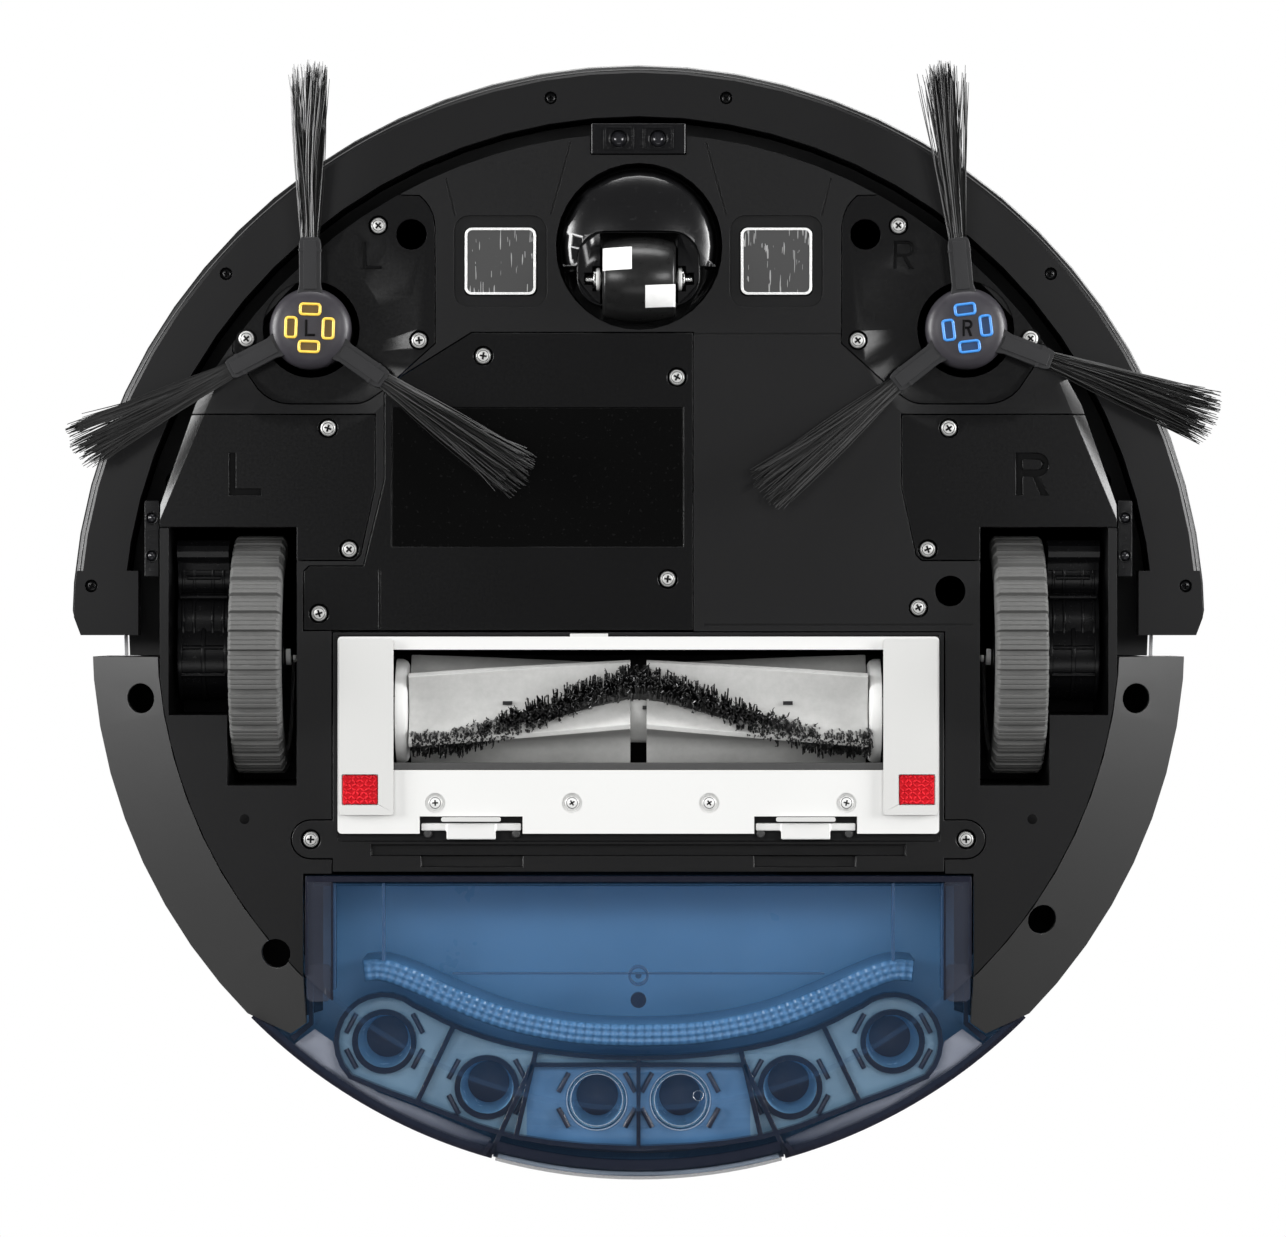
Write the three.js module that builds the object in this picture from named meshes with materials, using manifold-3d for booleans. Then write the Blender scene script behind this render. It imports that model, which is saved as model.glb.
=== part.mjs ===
// Robot vacuum. Millimetres, +Z up, wheels on the plane z = 0.
// The bumper faces -Y, the dust bin faces +Y, the side marked L is -X and the side marked R is +X.
import * as THREE from 'three';
import { mergeVertices } from 'three/addons/utils/BufferGeometryUtils.js';
import Module from 'manifold-3d';

const wasm = await Module();
wasm.setup();

// driving dimensions: the body
const bumperRadius = 165;
const rearRadius = 161;
const upperRadius = 150;
const islandRadius = 144.5;
const islandSideX = 138.7;
const flatRadius = 139.3;
const bottomZ = 10;
const plateThickness = 3;
const wallThickness = 2.5;
const baseTopZ = 32;
const frameTopZ = 73;
const totalHeight = 76;
const seam = 0.35;
const partingY = 7.3;
const bumperEndY = 1;
const roundSteps = 72;

// driving dimensions: running gear
const wheelRadius = 35;
const wheelX = 110.8;
const wheelY = 6.7;
const wheelWidth = 15.2;
const armPivot = { y: -24, z: 22.5 };
const casterCentre = { x: 0.2, y: -111.7 };
const casterWheelY = -102.3;
const casterWheelRadius = 12.5;
const casterSocketRadius = 24.2;

// driving dimensions: brushes, contacts and bin
const sideBrush = { x: 95, y: -87.8, wellRadius: 14.1, hubRadius: 11.8, reach: 76.5 };
const armAnglesLeft = [-90, 35, 152.6];
const armAnglesRight = [-95.5, 21, 142];
const roller = { y: 23.2, z: 23, coreRadius: 10, bladeRadius: 17.4, halfLength: 69.5 };
const guard = { x: 87, frontY: 1.4, rearY: 58.4, lowZ: 7, highZ: 10.3 };
const inlet = { x: 71.5, frontY: 5.15, rearY: 40 };
const housing = { x: 88.6, frontY: 0.2, rearY: 69.6 };
const contact = { x: 40, y: -107.4, width: 20.5, depth: 19.3 };
const bin = { x: 96.6, frontY: 70.7, flareY: 114.6, topZ: 60 };
const screwSinkRadius = 2.95;
const screwSinkDepth = 1.8;

const model = new THREE.Group();
const LEFT = -1;
const RIGHT = 1;
const sideName = (side) => (side === LEFT ? 'left' : 'right');

// ---------- solids ----------

// a three.js geometry as a closed solid with its faces pointing out
function solid(geometry) {
  const bare = geometry.clone();
  bare.deleteAttribute('normal');
  bare.deleteAttribute('uv');
  const merged = mergeVertices(bare, 1e-4);
  const corners = merged.attributes.position.array;
  const index = merged.index.array;
  const kept = [];
  let volume = 0;
  const [a, b, c] = [new THREE.Vector3(), new THREE.Vector3(), new THREE.Vector3()];
  for (let i = 0; i < index.length; i += 3) {
    const [p, q, r] = [index[i], index[i + 1], index[i + 2]];
    if (p === q || q === r || r === p) continue;
    kept.push(p, q, r);
    volume += a.fromArray(corners, 3 * p).dot(b.fromArray(corners, 3 * q).cross(c.fromArray(corners, 3 * r)));
  }
  if (volume < 0) kept.reverse();
  return new wasm.Manifold(new wasm.Mesh({
    numProp: 3,
    vertProperties: new Float32Array(corners),
    triVerts: new Uint32Array(kept),
  }));
}

function geometryOf(body) {
  const mesh = body.getMesh();
  const geometry = new THREE.BufferGeometry();
  geometry.setAttribute('position', new THREE.BufferAttribute(new Float32Array(mesh.vertProperties), 3));
  geometry.setIndex(new THREE.BufferAttribute(new Uint32Array(mesh.triVerts), 1));
  geometry.computeVertexNormals();
  return geometry;
}

const join = (first, ...rest) => rest.reduce((sum, next) => sum.add(next), first);
const cut = (first, ...rest) => rest.reduce((sum, next) => sum.subtract(next), first);
const common = (first, ...rest) => rest.reduce((sum, next) => sum.intersect(next), first);

function prism(outline, lowZ, highZ, curveSegments = 12) {
  const options = { depth: highZ - lowZ, bevelEnabled: false, curveSegments };
  const geometry = new THREE.ExtrudeGeometry(outline, options);
  geometry.translate(0, 0, lowZ);
  return solid(geometry);
}

function block(x0, x1, y0, y1, z0, z1) {
  const geometry = new THREE.BoxGeometry(Math.abs(x1 - x0), Math.abs(y1 - y0), Math.abs(z1 - z0));
  geometry.translate((x0 + x1) / 2, (y0 + y1) / 2, (z0 + z1) / 2);
  return solid(geometry);
}

// a block given by the side of the robot it is on and its distances from the middle
const sideBlock = (side, x0, x1, y0, y1, z0, z1) => block(side * x0, side * x1, y0, y1, z0, z1);

// a body turned about a vertical axis from [radius, z] points
function turned(profile, x = 0, y = 0, segments = roundSteps) {
  const points = profile.map(([r, z]) => new THREE.Vector2(r, z));
  const geometry = new THREE.LatheGeometry(points, segments);
  geometry.rotateX(Math.PI / 2);
  geometry.translate(x, y, 0);
  return solid(geometry);
}

const disc = (x, y, radius, z0, z1, segments = 24) =>
  turned([[0, z0], [radius, z0], [radius, z1], [0, z1]], x, y, segments);

// a body turned about an axis along X from [radius, x] points
function turnedAlongX(profile, y, z, segments = 40) {
  const points = profile.map(([r, x]) => new THREE.Vector2(r, x));
  const geometry = new THREE.LatheGeometry(points, segments);
  geometry.rotateZ(-Math.PI / 2);
  geometry.translate(0, y, z);
  return solid(geometry);
}

const rodAlongX = (x0, x1, y, z, radius, segments = 24) =>
  turnedAlongX([[0, x0], [radius, x0], [radius, x1], [0, x1]], y, z, segments);

// ---------- outlines ----------

function polygon(points) {
  const outline = new THREE.Shape();
  points.forEach(([x, y], i) => (i ? outline.lineTo(x, y) : outline.moveTo(x, y)));
  outline.closePath();
  return outline;
}

const mirrored = (side, points) => points.map(([x, y]) => [side * x, y]);

function roundedRectangle(x0, x1, y0, y1, r) {
  const outline = new THREE.Shape();
  outline.moveTo(x0 + r, y0);
  outline.lineTo(x1 - r, y0);
  outline.absarc(x1 - r, y0 + r, r, -Math.PI / 2, 0);
  outline.lineTo(x1, y1 - r);
  outline.absarc(x1 - r, y1 - r, r, 0, Math.PI / 2);
  outline.lineTo(x0 + r, y1);
  outline.absarc(x0 + r, y1 - r, r, Math.PI / 2, Math.PI);
  outline.lineTo(x0, y0 + r);
  outline.absarc(x0 + r, y0 + r, r, Math.PI, 1.5 * Math.PI);
  return outline;
}

// points on a circle from one angle to another, in degrees
function arcPoints(radius, fromDeg, toDeg, count, x = 0, y = 0) {
  const points = [];
  for (let i = 0; i <= count; i += 1) {
    const angle = THREE.MathUtils.degToRad(fromDeg + ((toDeg - fromDeg) * i) / count);
    points.push([x + radius * Math.cos(angle), y + radius * Math.sin(angle)]);
  }
  return points;
}

function ringSector(inner, outer, fromDeg, toDeg, count) {
  return polygon([...arcPoints(outer, fromDeg, toDeg, count), ...arcPoints(inner, toDeg, fromDeg, count)]);
}

// the polygon with every edge moved out by a distance
function grown(points, distance) {
  const area = points.reduce((sum, [x, y], i) => {
    const [nextX, nextY] = points[(i + 1) % points.length];
    return sum + x * nextY - nextX * y;
  }, 0);
  const turn = Math.sign(area);
  return points.map(([x, y], i) => {
    const [beforeX, beforeY] = points[(i + points.length - 1) % points.length];
    const [afterX, afterY] = points[(i + 1) % points.length];
    const into = new THREE.Vector2(x - beforeX, y - beforeY).normalize();
    const away = new THREE.Vector2(afterX - x, afterY - y).normalize();
    const normalIn = new THREE.Vector2(turn * into.y, -turn * into.x);
    const normalOut = new THREE.Vector2(turn * away.y, -turn * away.x);
    const mitre = normalIn.clone().add(normalOut);
    mitre.multiplyScalar(distance / (1 + normalIn.dot(normalOut)));
    return [x + mitre.x, y + mitre.y];
  });
}

// the lower body's outline: round in front, a short slanted stretch, straight sides, round behind
function islandOutline(inset) {
  const front = islandRadius - inset;
  const rear = flatRadius - inset;
  const sideX = islandSideX - inset;
  const rearStart = THREE.MathUtils.radToDeg(Math.acos(sideX / rear));
  return polygon([
    ...arcPoints(front, -152.9, -27.1, 30),
    [sideX, -36.8],
    ...arcPoints(rear, rearStart, 180 - rearStart, 42),
    [-sideX, -36.8],
  ]);
}

// ---------- materials ----------

function finish(colour, roughness, metalness = 0) {
  return new THREE.MeshStandardMaterial({ color: colour, roughness, metalness });
}

const blackShell = () => finish(0x18181a, 0.6);
const satinShell = () => finish(0x2c2c2e, 0.45);
const glossBlack = () => finish(0x0b0b0c, 0.12);
const paleGuard = () => finish(0xdcdcda, 0.4);
const greyRubber = () => finish(0x626262, 0.85);
const darkRubber = () => finish(0x3c3c3e, 0.7);
const steel = () => finish(0xb9b9b9, 0.3, 1);
const binBlue = () => finish(0x3e6694, 0.2);
const smokyPlastic = () => finish(0x32323e, 0.2);
const blackBristle = () => finish(0x0e0e0f, 0.8);

function addPart(name, body, material, parent = model) {
  const geometry = body instanceof THREE.BufferGeometry ? body : geometryOf(body);
  const mesh = new THREE.Mesh(geometry, material);
  mesh.name = name;
  parent.add(mesh);
  return mesh;
}

// ---------- shared cutting shapes ----------

const screwSink = ([x, y]) => disc(x, y, screwSinkRadius, bottomZ - 1, bottomZ + screwSinkDepth, 14);
const deepHole = ([x, y], radius) => disc(x, y, radius, bottomZ - 6, bottomZ + 26, 18);
const skirtHoles = [[-145, 19.4], [145, 19.4], [-105.2, 93.4], [117.4, 83.7]];
const skirtHoleRadius = 4.4;
const serviceHoleRadius = 4.5;

// letters are cut 0.5 mm deep and read the right way up from below, so their tops are at the low-Y end
const letterDepth = 0.5;

function letterL(x, y, width, height, stroke) {
  const low = bottomZ - 1;
  const high = bottomZ + letterDepth;
  const stem = block(x, x + stroke, y, y + height, low, high);
  const foot = block(x, x + width, y + height - stroke, y + height, low, high);
  return join(stem, foot);
}

function letterR(x, y, width, height, stroke) {
  const low = bottomZ - 1;
  const high = bottomZ + letterDepth;
  const bowlRadius = height * 0.28;
  const centreX = x + width - bowlRadius;
  const centreY = y + bowlRadius;
  const stem = block(x, x + stroke, y, y + height, low, high);
  const bowlOuter = join(
    block(x, centreX, y, y + 2 * bowlRadius, low, high),
    disc(centreX, centreY, bowlRadius, low, high, 20),
  );
  const bowlInner = join(
    block(x + stroke, centreX, y + stroke, y + 2 * bowlRadius - stroke, low - 1, high + 1),
    disc(centreX, centreY, bowlRadius - stroke, low - 1, high + 1, 20),
  );
  const legTop = y + 2 * bowlRadius - stroke;
  const leg = prism(polygon([
    [x + 0.42 * width, legTop],
    [x + 0.42 * width + 1.2 * stroke, legTop],
    [x + width, y + height],
    [x + width - 1.2 * stroke, y + height],
  ]), low, high);
  return join(stem, cut(bowlOuter, bowlInner), leg);
}

// ---------- wells and cover outlines in the base ----------

const wellInnerX = 99;
const wellSplitX = 119.2;
const wellOuterX = 136.2;
const wellFrontY = -30.4;
const wellMotorRearY = 24.2;
const wellWheelRearY = 44.6;
const wellMotorTopZ = 58;
const wellWheelTopZ = 71;
const wellWall = 1.5;

function wheelWell(side, grow) {
  const floorZ = grow ? bottomZ : bottomZ - 3;
  const frontY = wellFrontY - grow;
  const motorPart = sideBlock(
    side, wellSplitX - 2, wellOuterX + grow, frontY, wellMotorRearY + grow, floorZ, wellMotorTopZ + grow,
  );
  const wheelPart = sideBlock(
    side, wellInnerX - grow, wellSplitX + grow, frontY, wellWheelRearY + grow, floorZ, wellWheelTopZ + grow,
  );
  return join(motorPart, wheelPart);
}

// seen from the L side; mirrored for R
function sideBrushCoverOutline(side) {
  return mirrored(-side, [
    [-69.3, -138],
    [-69.3, -126.4],
    ...arcPoints(11.5, -52, 0, 5, -70.6, -117.2),
    [-59, -83.7],
    [-73.8, -70.4],
    ...arcPoints(9, 60, 90, 3, -82.6, -75.3),
    ...arcPoints(12, 90, 140, 4, -101.1, -78.3),
    [-117.6, -81.4],
    [-117.4, -85.1],
    [-128, -92.8],
  ]);
}

function wheelCoverOutline(side) {
  return mirrored(-side, [
    [-146, -62.9], [-76.4, -62.9], [-76.4, -42.1], [-80.6, -22.4], [-82.2, -20.8],
    [-wellInnerX, -20.8], [-wellInnerX, wellFrontY - 0.01], [-146, wellFrontY - 0.01],
  ]);
}

const batteryCoverOutline = [
  [15.7, -86.6], [15.7, -0.5], [-96.9, -0.5], [-96.9, -17.4], [-95.4, -18.9], [-79.6, -18.9],
  [-73.5, -44], [-73.5, -70.2], [-70, -73.1], [-48.3, -86.6],
];

// the shallow cone sunk into the underside round a side brush
function brushDish(side) {
  return turned(
    [[0, bottomZ - 1], [31, bottomZ - 1], [31, bottomZ - 0.05], [21, bottomZ + 2], [0, bottomZ + 2]],
    side * sideBrush.x, sideBrush.y, 40,
  );
}

// the slanted facet on the island's edge ahead of the wheel: its inner line and its rise outwards
const facet = { frontX: 123.4, frontY: -69, rearX: 138.4, rearY: -33.1, slopeDeg: 33, overrun: 7 };

function edgeFacet(side) {
  const acrossX = facet.rearX - facet.frontX;
  const alongY = facet.rearY - facet.frontY;
  const slope = THREE.MathUtils.degToRad(facet.slopeDeg);
  const geometry = new THREE.BoxGeometry(26, Math.hypot(acrossX, alongY) + facet.overrun, 10);
  geometry.translate(side * 7, 0, -5);
  geometry.rotateY(-side * slope);
  geometry.rotateZ(-side * Math.atan2(acrossX, alongY));
  geometry.translate(side * (facet.frontX + acrossX / 2), facet.frontY + alongY / 2, bottomZ);
  return solid(geometry);
}

// ---------- chassis ----------

const housingEar = { x: 95, y: 60.2, radius: 5.5 };

function housingOpening() {
  const halfWidth = housing.x + seam;
  const plan = block(
    -halfWidth, halfWidth, housing.frontY - seam, housing.rearY + 0.6, bottomZ - 1, bottomZ + 4,
  );
  const ears = [LEFT, RIGHT].map((side) =>
    disc(side * housingEar.x, housingEar.y, housingEar.radius + seam, bottomZ - 1, bottomZ + 4, 24));
  const necks = [LEFT, RIGHT].map((side) => sideBlock(
    side, housing.x - 1, housingEar.x, housingEar.y - housingEar.radius - seam,
    housingEar.y + housingEar.radius + seam, bottomZ - 1, bottomZ + 4,
  ));
  return join(plan, ...ears, ...necks);
}

function contactRecess(side) {
  const x = side * contact.x;
  const recess = roundedRectangle(x - 13.5, x + 13.5, contact.y - 13.3, contact.y + 13.3, 4.5);
  const hole = roundedRectangle(
    x - contact.width / 2 - seam, x + contact.width / 2 + seam,
    contact.y - contact.depth / 2 - seam, contact.y + contact.depth / 2 + seam, 2,
  );
  return join(prism(recess, bottomZ - 1, bottomZ + 0.9, 4), prism(hole, bottomZ - 1, bottomZ + 4, 4));
}

// a fine parting or relief line between two points
function groove(x0, y0, x1, y1, width = 0.6, depth = 0.5) {
  const length = Math.hypot(x1 - x0, y1 - y0);
  const geometry = new THREE.BoxGeometry(length, width, depth + 1);
  geometry.rotateZ(Math.atan2(y1 - y0, x1 - x0));
  geometry.translate((x0 + x1) / 2, (y0 + y1) / 2, bottomZ + (depth - 1) / 2);
  return solid(geometry);
}

function baseShell() {
  const outer = prism(islandOutline(0), bottomZ, baseTopZ);
  const hollow = prism(islandOutline(wallThickness), bottomZ + plateThickness, baseTopZ + 1);
  const socketRadius = casterSocketRadius + 1.4;
  const socketWall = disc(casterCentre.x, casterCentre.y, socketRadius, bottomZ, 33, 40);
  const reach = prism(islandOutline(0), 0, wellWheelTopZ + 2);
  const wells = [LEFT, RIGHT].map((side) => common(wheelWell(side, wellWall), reach));
  const tray = join(cut(outer, hollow), ...wells, socketWall);
  const coverSink = (points) => prism(polygon(grown(points, seam)), bottomZ - 1, bottomZ + plateThickness);
  const binBay = prism(polygon(grown(binOutline(), 0.6)), bottomZ - 1, baseTopZ + 2);
  const holes = [
    wheelWell(LEFT, 0),
    wheelWell(RIGHT, 0),
    disc(casterCentre.x, casterCentre.y, casterSocketRadius, bottomZ - 1, 31.4, 36),
    coverSink(batteryCoverOutline),
    coverSink(sideBrushCoverOutline(LEFT)),
    coverSink(sideBrushCoverOutline(RIGHT)),
    coverSink(wheelCoverOutline(LEFT)),
    coverSink(wheelCoverOutline(RIGHT)),
    housingOpening(),
    binBay,
    contactRecess(LEFT),
    contactRecess(RIGHT),
    brushDish(LEFT),
    brushDish(RIGHT),
    edgeFacet(LEFT),
    edgeFacet(RIGHT),
    block(-13.95, 13.95, -152, -138.25, bottomZ - 1, bottomZ + 6.4),
    deepHole([90.4, -11.8], serviceHoleRadius),
    ...skirtHoles.map((at) => deepHole(at, skirtHoleRadius)),
    screwSink([81.2, -7]),
    groove(77, -85, 77, -66.5),
    groove(15.7, -86.3, 77, -86.3),
    groove(19, -2, 97, -2),
    groove(-19.6, -142, -25.4, -121),
    groove(19.6, -142, 25.4, -121),
    groove(-55.8, -131.4, -53.1, -120.6),
    groove(55.8, -131.4, 53.1, -120.6),
  ];
  return cut(tray, ...holes);
}

const skirtProfile = (grow, topZ) => [
  [0, bottomZ - grow],
  [flatRadius + seam, bottomZ - grow],
  [rearRadius + grow, 33],
  [rearRadius + grow, topZ],
  [0, topZ],
];

function rearShell() {
  const ring = turned([
    [flatRadius + seam, bottomZ],
    [rearRadius, 33],
    [rearRadius, frameTopZ],
    [rearRadius - wallThickness, frameTopZ],
    [rearRadius - wallThickness, 34],
    [flatRadius + seam, 13.8],
    [flatRadius + seam, bottomZ],
  ]);
  const behind = block(-180, 180, partingY, 180, 0, 90);
  const endPlates = [LEFT, RIGHT].map((side) => common(
    turned(skirtProfile(0, frameTopZ)),
    sideBlock(side, flatRadius + 0.6, 170, partingY, partingY + wallThickness, 0, 90),
  ));
  const opening = prism(polygon(grown(binOutline(), 0.5)), 0, bin.topZ + 0.6);
  const shell = join(common(ring, behind), ...endPlates);
  return cut(shell, opening, ...skirtHoles.map((at) => deepHole(at, skirtHoleRadius)));
}

function upperFrame() {
  const lowZ = baseTopZ + 0.3;
  const ledge = 2.5;
  const ring = turned([
    [flatRadius, lowZ],
    [upperRadius, lowZ],
    [upperRadius, frameTopZ],
    [upperRadius - wallThickness, frameTopZ],
    [upperRadius - wallThickness, lowZ + ledge],
    [flatRadius, lowZ + ledge],
    [flatRadius, lowZ],
  ]);
  const ahead = block(-180, 180, -180, partingY - 0.3, 0, 90);
  const sides = block(-islandSideX - 0.3, islandSideX + 0.3, -45, 20, 0, 90);
  return cut(common(ring, ahead), common(sides, block(-180, 180, -180, 180, lowZ - 1, lowZ + ledge + 1)));
}

const buttonSpots = { power: [-13, -98], home: [13, -98] };
const buttonRadius = 7.5;

function topCover() {
  const brimRadius = 163;
  const slotX = 150.8;
  const slotRearAngle = THREE.MathUtils.radToDeg(Math.asin(partingY / rearRadius));
  const slotFrontAngle = THREE.MathUtils.radToDeg(Math.asin(bumperEndY / brimRadius));
  const outline = polygon([
    ...arcPoints(brimRadius, slotFrontAngle, -180 - slotFrontAngle, 44).reverse(),
    [slotX, bumperEndY],
    [slotX, partingY],
    ...arcPoints(rearRadius, slotRearAngle, 180 - slotRearAngle, 44),
    [-slotX, partingY],
    [-slotX, bumperEndY],
  ]);
  const options = {
    depth: totalHeight - frameTopZ - 0.3 - 1,
    bevelThickness: 1, bevelSize: 1, bevelOffset: -1, bevelSegments: 1,
  };
  const plate = new THREE.ExtrudeGeometry(outline, options);
  plate.translate(0, 0, frameTopZ + 0.3);
  const flatBelow = block(-180, 180, -180, 180, frameTopZ + 0.3, 90);
  const buttonHoles = Object.values(buttonSpots).map(([x, y]) =>
    disc(x, y, buttonRadius + seam, frameTopZ - 1, totalHeight + 1, 24));
  return cut(common(solid(plate), flatBelow), ...buttonHoles);
}

function addTopButtons() {
  for (const [name, [x, y]] of Object.entries(buttonSpots)) {
    const profile = [
      [0, frameTopZ - 1.5], [buttonRadius + 1.5, frameTopZ - 1.5], [buttonRadius + 1.5, frameTopZ - 0.3],
      [buttonRadius, frameTopZ - 0.3], [buttonRadius, totalHeight - 0.6],
      [buttonRadius - 0.5, totalHeight - 0.1],
      [0, totalHeight - 0.1],
    ];
    addPart(`${name}_button`, turned(profile, x, y, 24), satinShell());
  }
}

function sideBrushCover(side) {
  const points = sideBrushCoverOutline(side);
  const plate = prism(polygon(points), bottomZ, bottomZ + 2.7);
  const bowl = common(
    disc(side * sideBrush.x, sideBrush.y, 33, bottomZ + 2.5, bottomZ + 4.6, 30),
    disc(0, 0, islandRadius - wallThickness - 0.5, bottomZ, bottomZ + 6, roundSteps),
    prism(polygon(grown(points, -0.4)), bottomZ, bottomZ + 6),
  );
  const rim = common(join(plate, bowl), prism(islandOutline(0), bottomZ - 1, bottomZ + 8));
  const screws = [[75.4, -117.8], [113.7, -85], [63.6, -84.5]].map(([x, y]) => screwSink([side * x, y]));
  const letter = side === LEFT ? letterL(-80, -113, 5.6, 7.8, 1) : letterR(74, -113.4, 6, 8.2, 1);
  return cut(
    rim,
    brushDish(side),
    disc(side * sideBrush.x, sideBrush.y, sideBrush.wellRadius, bottomZ - 1, bottomZ + 6, 36),
    deepHole([side * 65.8, -115.2], serviceHoleRadius),
    letter,
    ...screws,
  );
}

function wheelCover(side) {
  const plate = common(
    prism(polygon(wheelCoverOutline(side)), bottomZ, bottomZ + 2.7),
    prism(islandOutline(0), bottomZ - 1, bottomZ + 8),
  );
  const screws = [[90, -59], [83.9, -23.9]].map(([x, y]) => screwSink([side * x, y]));
  const letter = side === LEFT ? letterL(-118.7, -51.9, 9.3, 12.4, 2) : letterR(109.4, -51.9, 9.6, 12.4, 2);
  return cut(plate, brushDish(side), edgeFacet(side), letter, ...screws);
}

const labelPlate = { x0: -71.3, x1: 12.8, y0: -64.8, y1: -24.9 };

function batteryCover() {
  const plate = prism(polygon(batteryCoverOutline), bottomZ, bottomZ + 2.6);
  const { x0, x1, y0, y1 } = labelPlate;
  const labelSeat = block(x0 - 0.3, x1 + 0.3, y0 - 0.3, y1 + 0.3, bottomZ - 1, bottomZ + 0.9);
  const screws = [[-45, -80], [11.2, -73.8], [8.5, -15.3], [-92.6, -5.3]].map(screwSink);
  return cut(plate, labelSeat, groove(-75, -18, -75, -1), ...screws);
}

function brushHousing() {
  const { x, frontY, rearY } = housing;
  const chamber = { x: 80, frontY: 4, rearY: 50.5, topZ: 50.5, wall: 1.5 };
  const plate = block(-x, x, frontY, rearY, bottomZ, bottomZ + 3.3);
  const ears = [LEFT, RIGHT].map((side) => join(
    disc(side * housingEar.x, housingEar.y, housingEar.radius, bottomZ, bottomZ + 3, 24),
    sideBlock(side, x - 1, housingEar.x, housingEar.y - housingEar.radius,
      housingEar.y + housingEar.radius, bottomZ, bottomZ + 3),
  ));
  const walls = block(
    -chamber.x - chamber.wall, chamber.x + chamber.wall, frontY + 2.3, chamber.rearY + chamber.wall,
    bottomZ, chamber.topZ + chamber.wall,
  );
  const room = block(-chamber.x, chamber.x, chamber.frontY, chamber.rearY, bottomZ - 1, chamber.topZ);
  const seatX = guard.x + 0.3;
  const guardSeat = block(-seatX, seatX, guard.frontY - 0.3, 60.7, bottomZ - 1, guard.highZ + 0.4);
  const suctionPort = block(-42, 42, chamber.rearY - 1, chamber.rearY + 4, 28, 46);
  const slot = block(-77.5, 77.5, 61.7, 64.9, bottomZ - 1, bottomZ + 2.4);
  const pockets = [LEFT, RIGHT].map((side) =>
    sideBlock(side, 33.5, 63, 61.7, 68.2, bottomZ - 1, bottomZ + 2));
  const screws = [LEFT, RIGHT].map((side) => screwSink([side * housingEar.x, housingEar.y]));
  return cut(join(plate, ...ears, walls), room, guardSeat, suctionPort, slot, ...pockets, ...screws);
}

function addChassis() {
  addPart('base_shell', baseShell(), blackShell());
  addPart('rear_shell', rearShell(), satinShell());
  addPart('upper_frame', upperFrame(), blackShell());
  addPart('top_cover', topCover(), glossBlack());
  for (const side of [LEFT, RIGHT]) {
    addPart(`side_brush_cover_${sideName(side)}`, sideBrushCover(side), blackShell());
    addPart(`wheel_cover_${sideName(side)}`, wheelCover(side), blackShell());
    addPart(`charge_contact_${sideName(side)}`, chargeContact(side), steel());
    addPart(`side_cliff_sensor_${sideName(side)}`, sideCliffSensor(side), glossBlack());
  }
  addPart('battery_cover', batteryCover(), blackShell());
  const { x0, x1, y0, y1 } = labelPlate;
  addPart('battery_label', block(x0, x1, y0, y1, bottomZ + 0.1, bottomZ + 0.6), glossBlack());
  addPart('brush_housing', brushHousing(), blackShell());
  addPart('front_cliff_sensor', frontCliffSensor(), glossBlack());
}

function chargeContact(side) {
  const x = side * contact.x;
  const outline = roundedRectangle(
    x - contact.width / 2, x + contact.width / 2,
    contact.y - contact.depth / 2, contact.y + contact.depth / 2, 1.8,
  );
  return prism(outline, bottomZ - 0.2, bottomZ + 4.5, 4);
}

function frontCliffSensor() {
  const body = block(-13.6, 13.6, -147.3, -138.6, bottomZ - 0.4, bottomZ + 3);
  const lensSpots = [-5.6, 5.6];
  return cut(body, ...lensSpots.map((x) => disc(x, -142.9, 2.6, bottomZ - 2, bottomZ + 1.2, 20)));
}

function sideCliffSensor(side) {
  const body = sideBlock(side, islandSideX + 0.4, 143.2, -38, -16, bottomZ + 1, baseTopZ - 1);
  const lensSpots = [-33, -22];
  return cut(body, ...lensSpots.map((y) => disc(side * 141.2, y, 1.5, bottomZ - 2, bottomZ + 2.4, 16)));
}

// ---------- inner parts ----------

function addInnerParts() {
  addPart('battery_pack', block(-70, 8, -78, -8, 15, 36), finish(0x2a4a7a, 0.5));
  addPart('main_board', block(-72, 72, -84, -36, 60, 61.6), finish(0x1f5a2e, 0.5));
  const motor = join(
    rodAlongX(22, 68, -48, 31, 13, 32),
    block(67, 80, -62, -6, 16, 46),
    rodAlongX(14, 23, -48, 31, 4, 20),
  );
  addPart('brush_motor', motor, steel());
  const fan = join(disc(0, 28, 33, 54, 68, 32), disc(0, 28, 14, 67.9, 71.5, 20));
  addPart('suction_fan', fan, darkRubber());
  for (const side of [LEFT, RIGHT]) {
    const x = side * sideBrush.x;
    const profile = [
      [0, 11.4], [2.4, 11.4], [2.4, 16], [11.6, 16], [11.6, 29], [8.5, 29], [8.5, 52], [0, 52],
    ];
    addPart(`side_brush_motor_${sideName(side)}`, turned(profile, x, sideBrush.y, 16), steel());
  }
}

// ---------- bumper ----------

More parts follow.
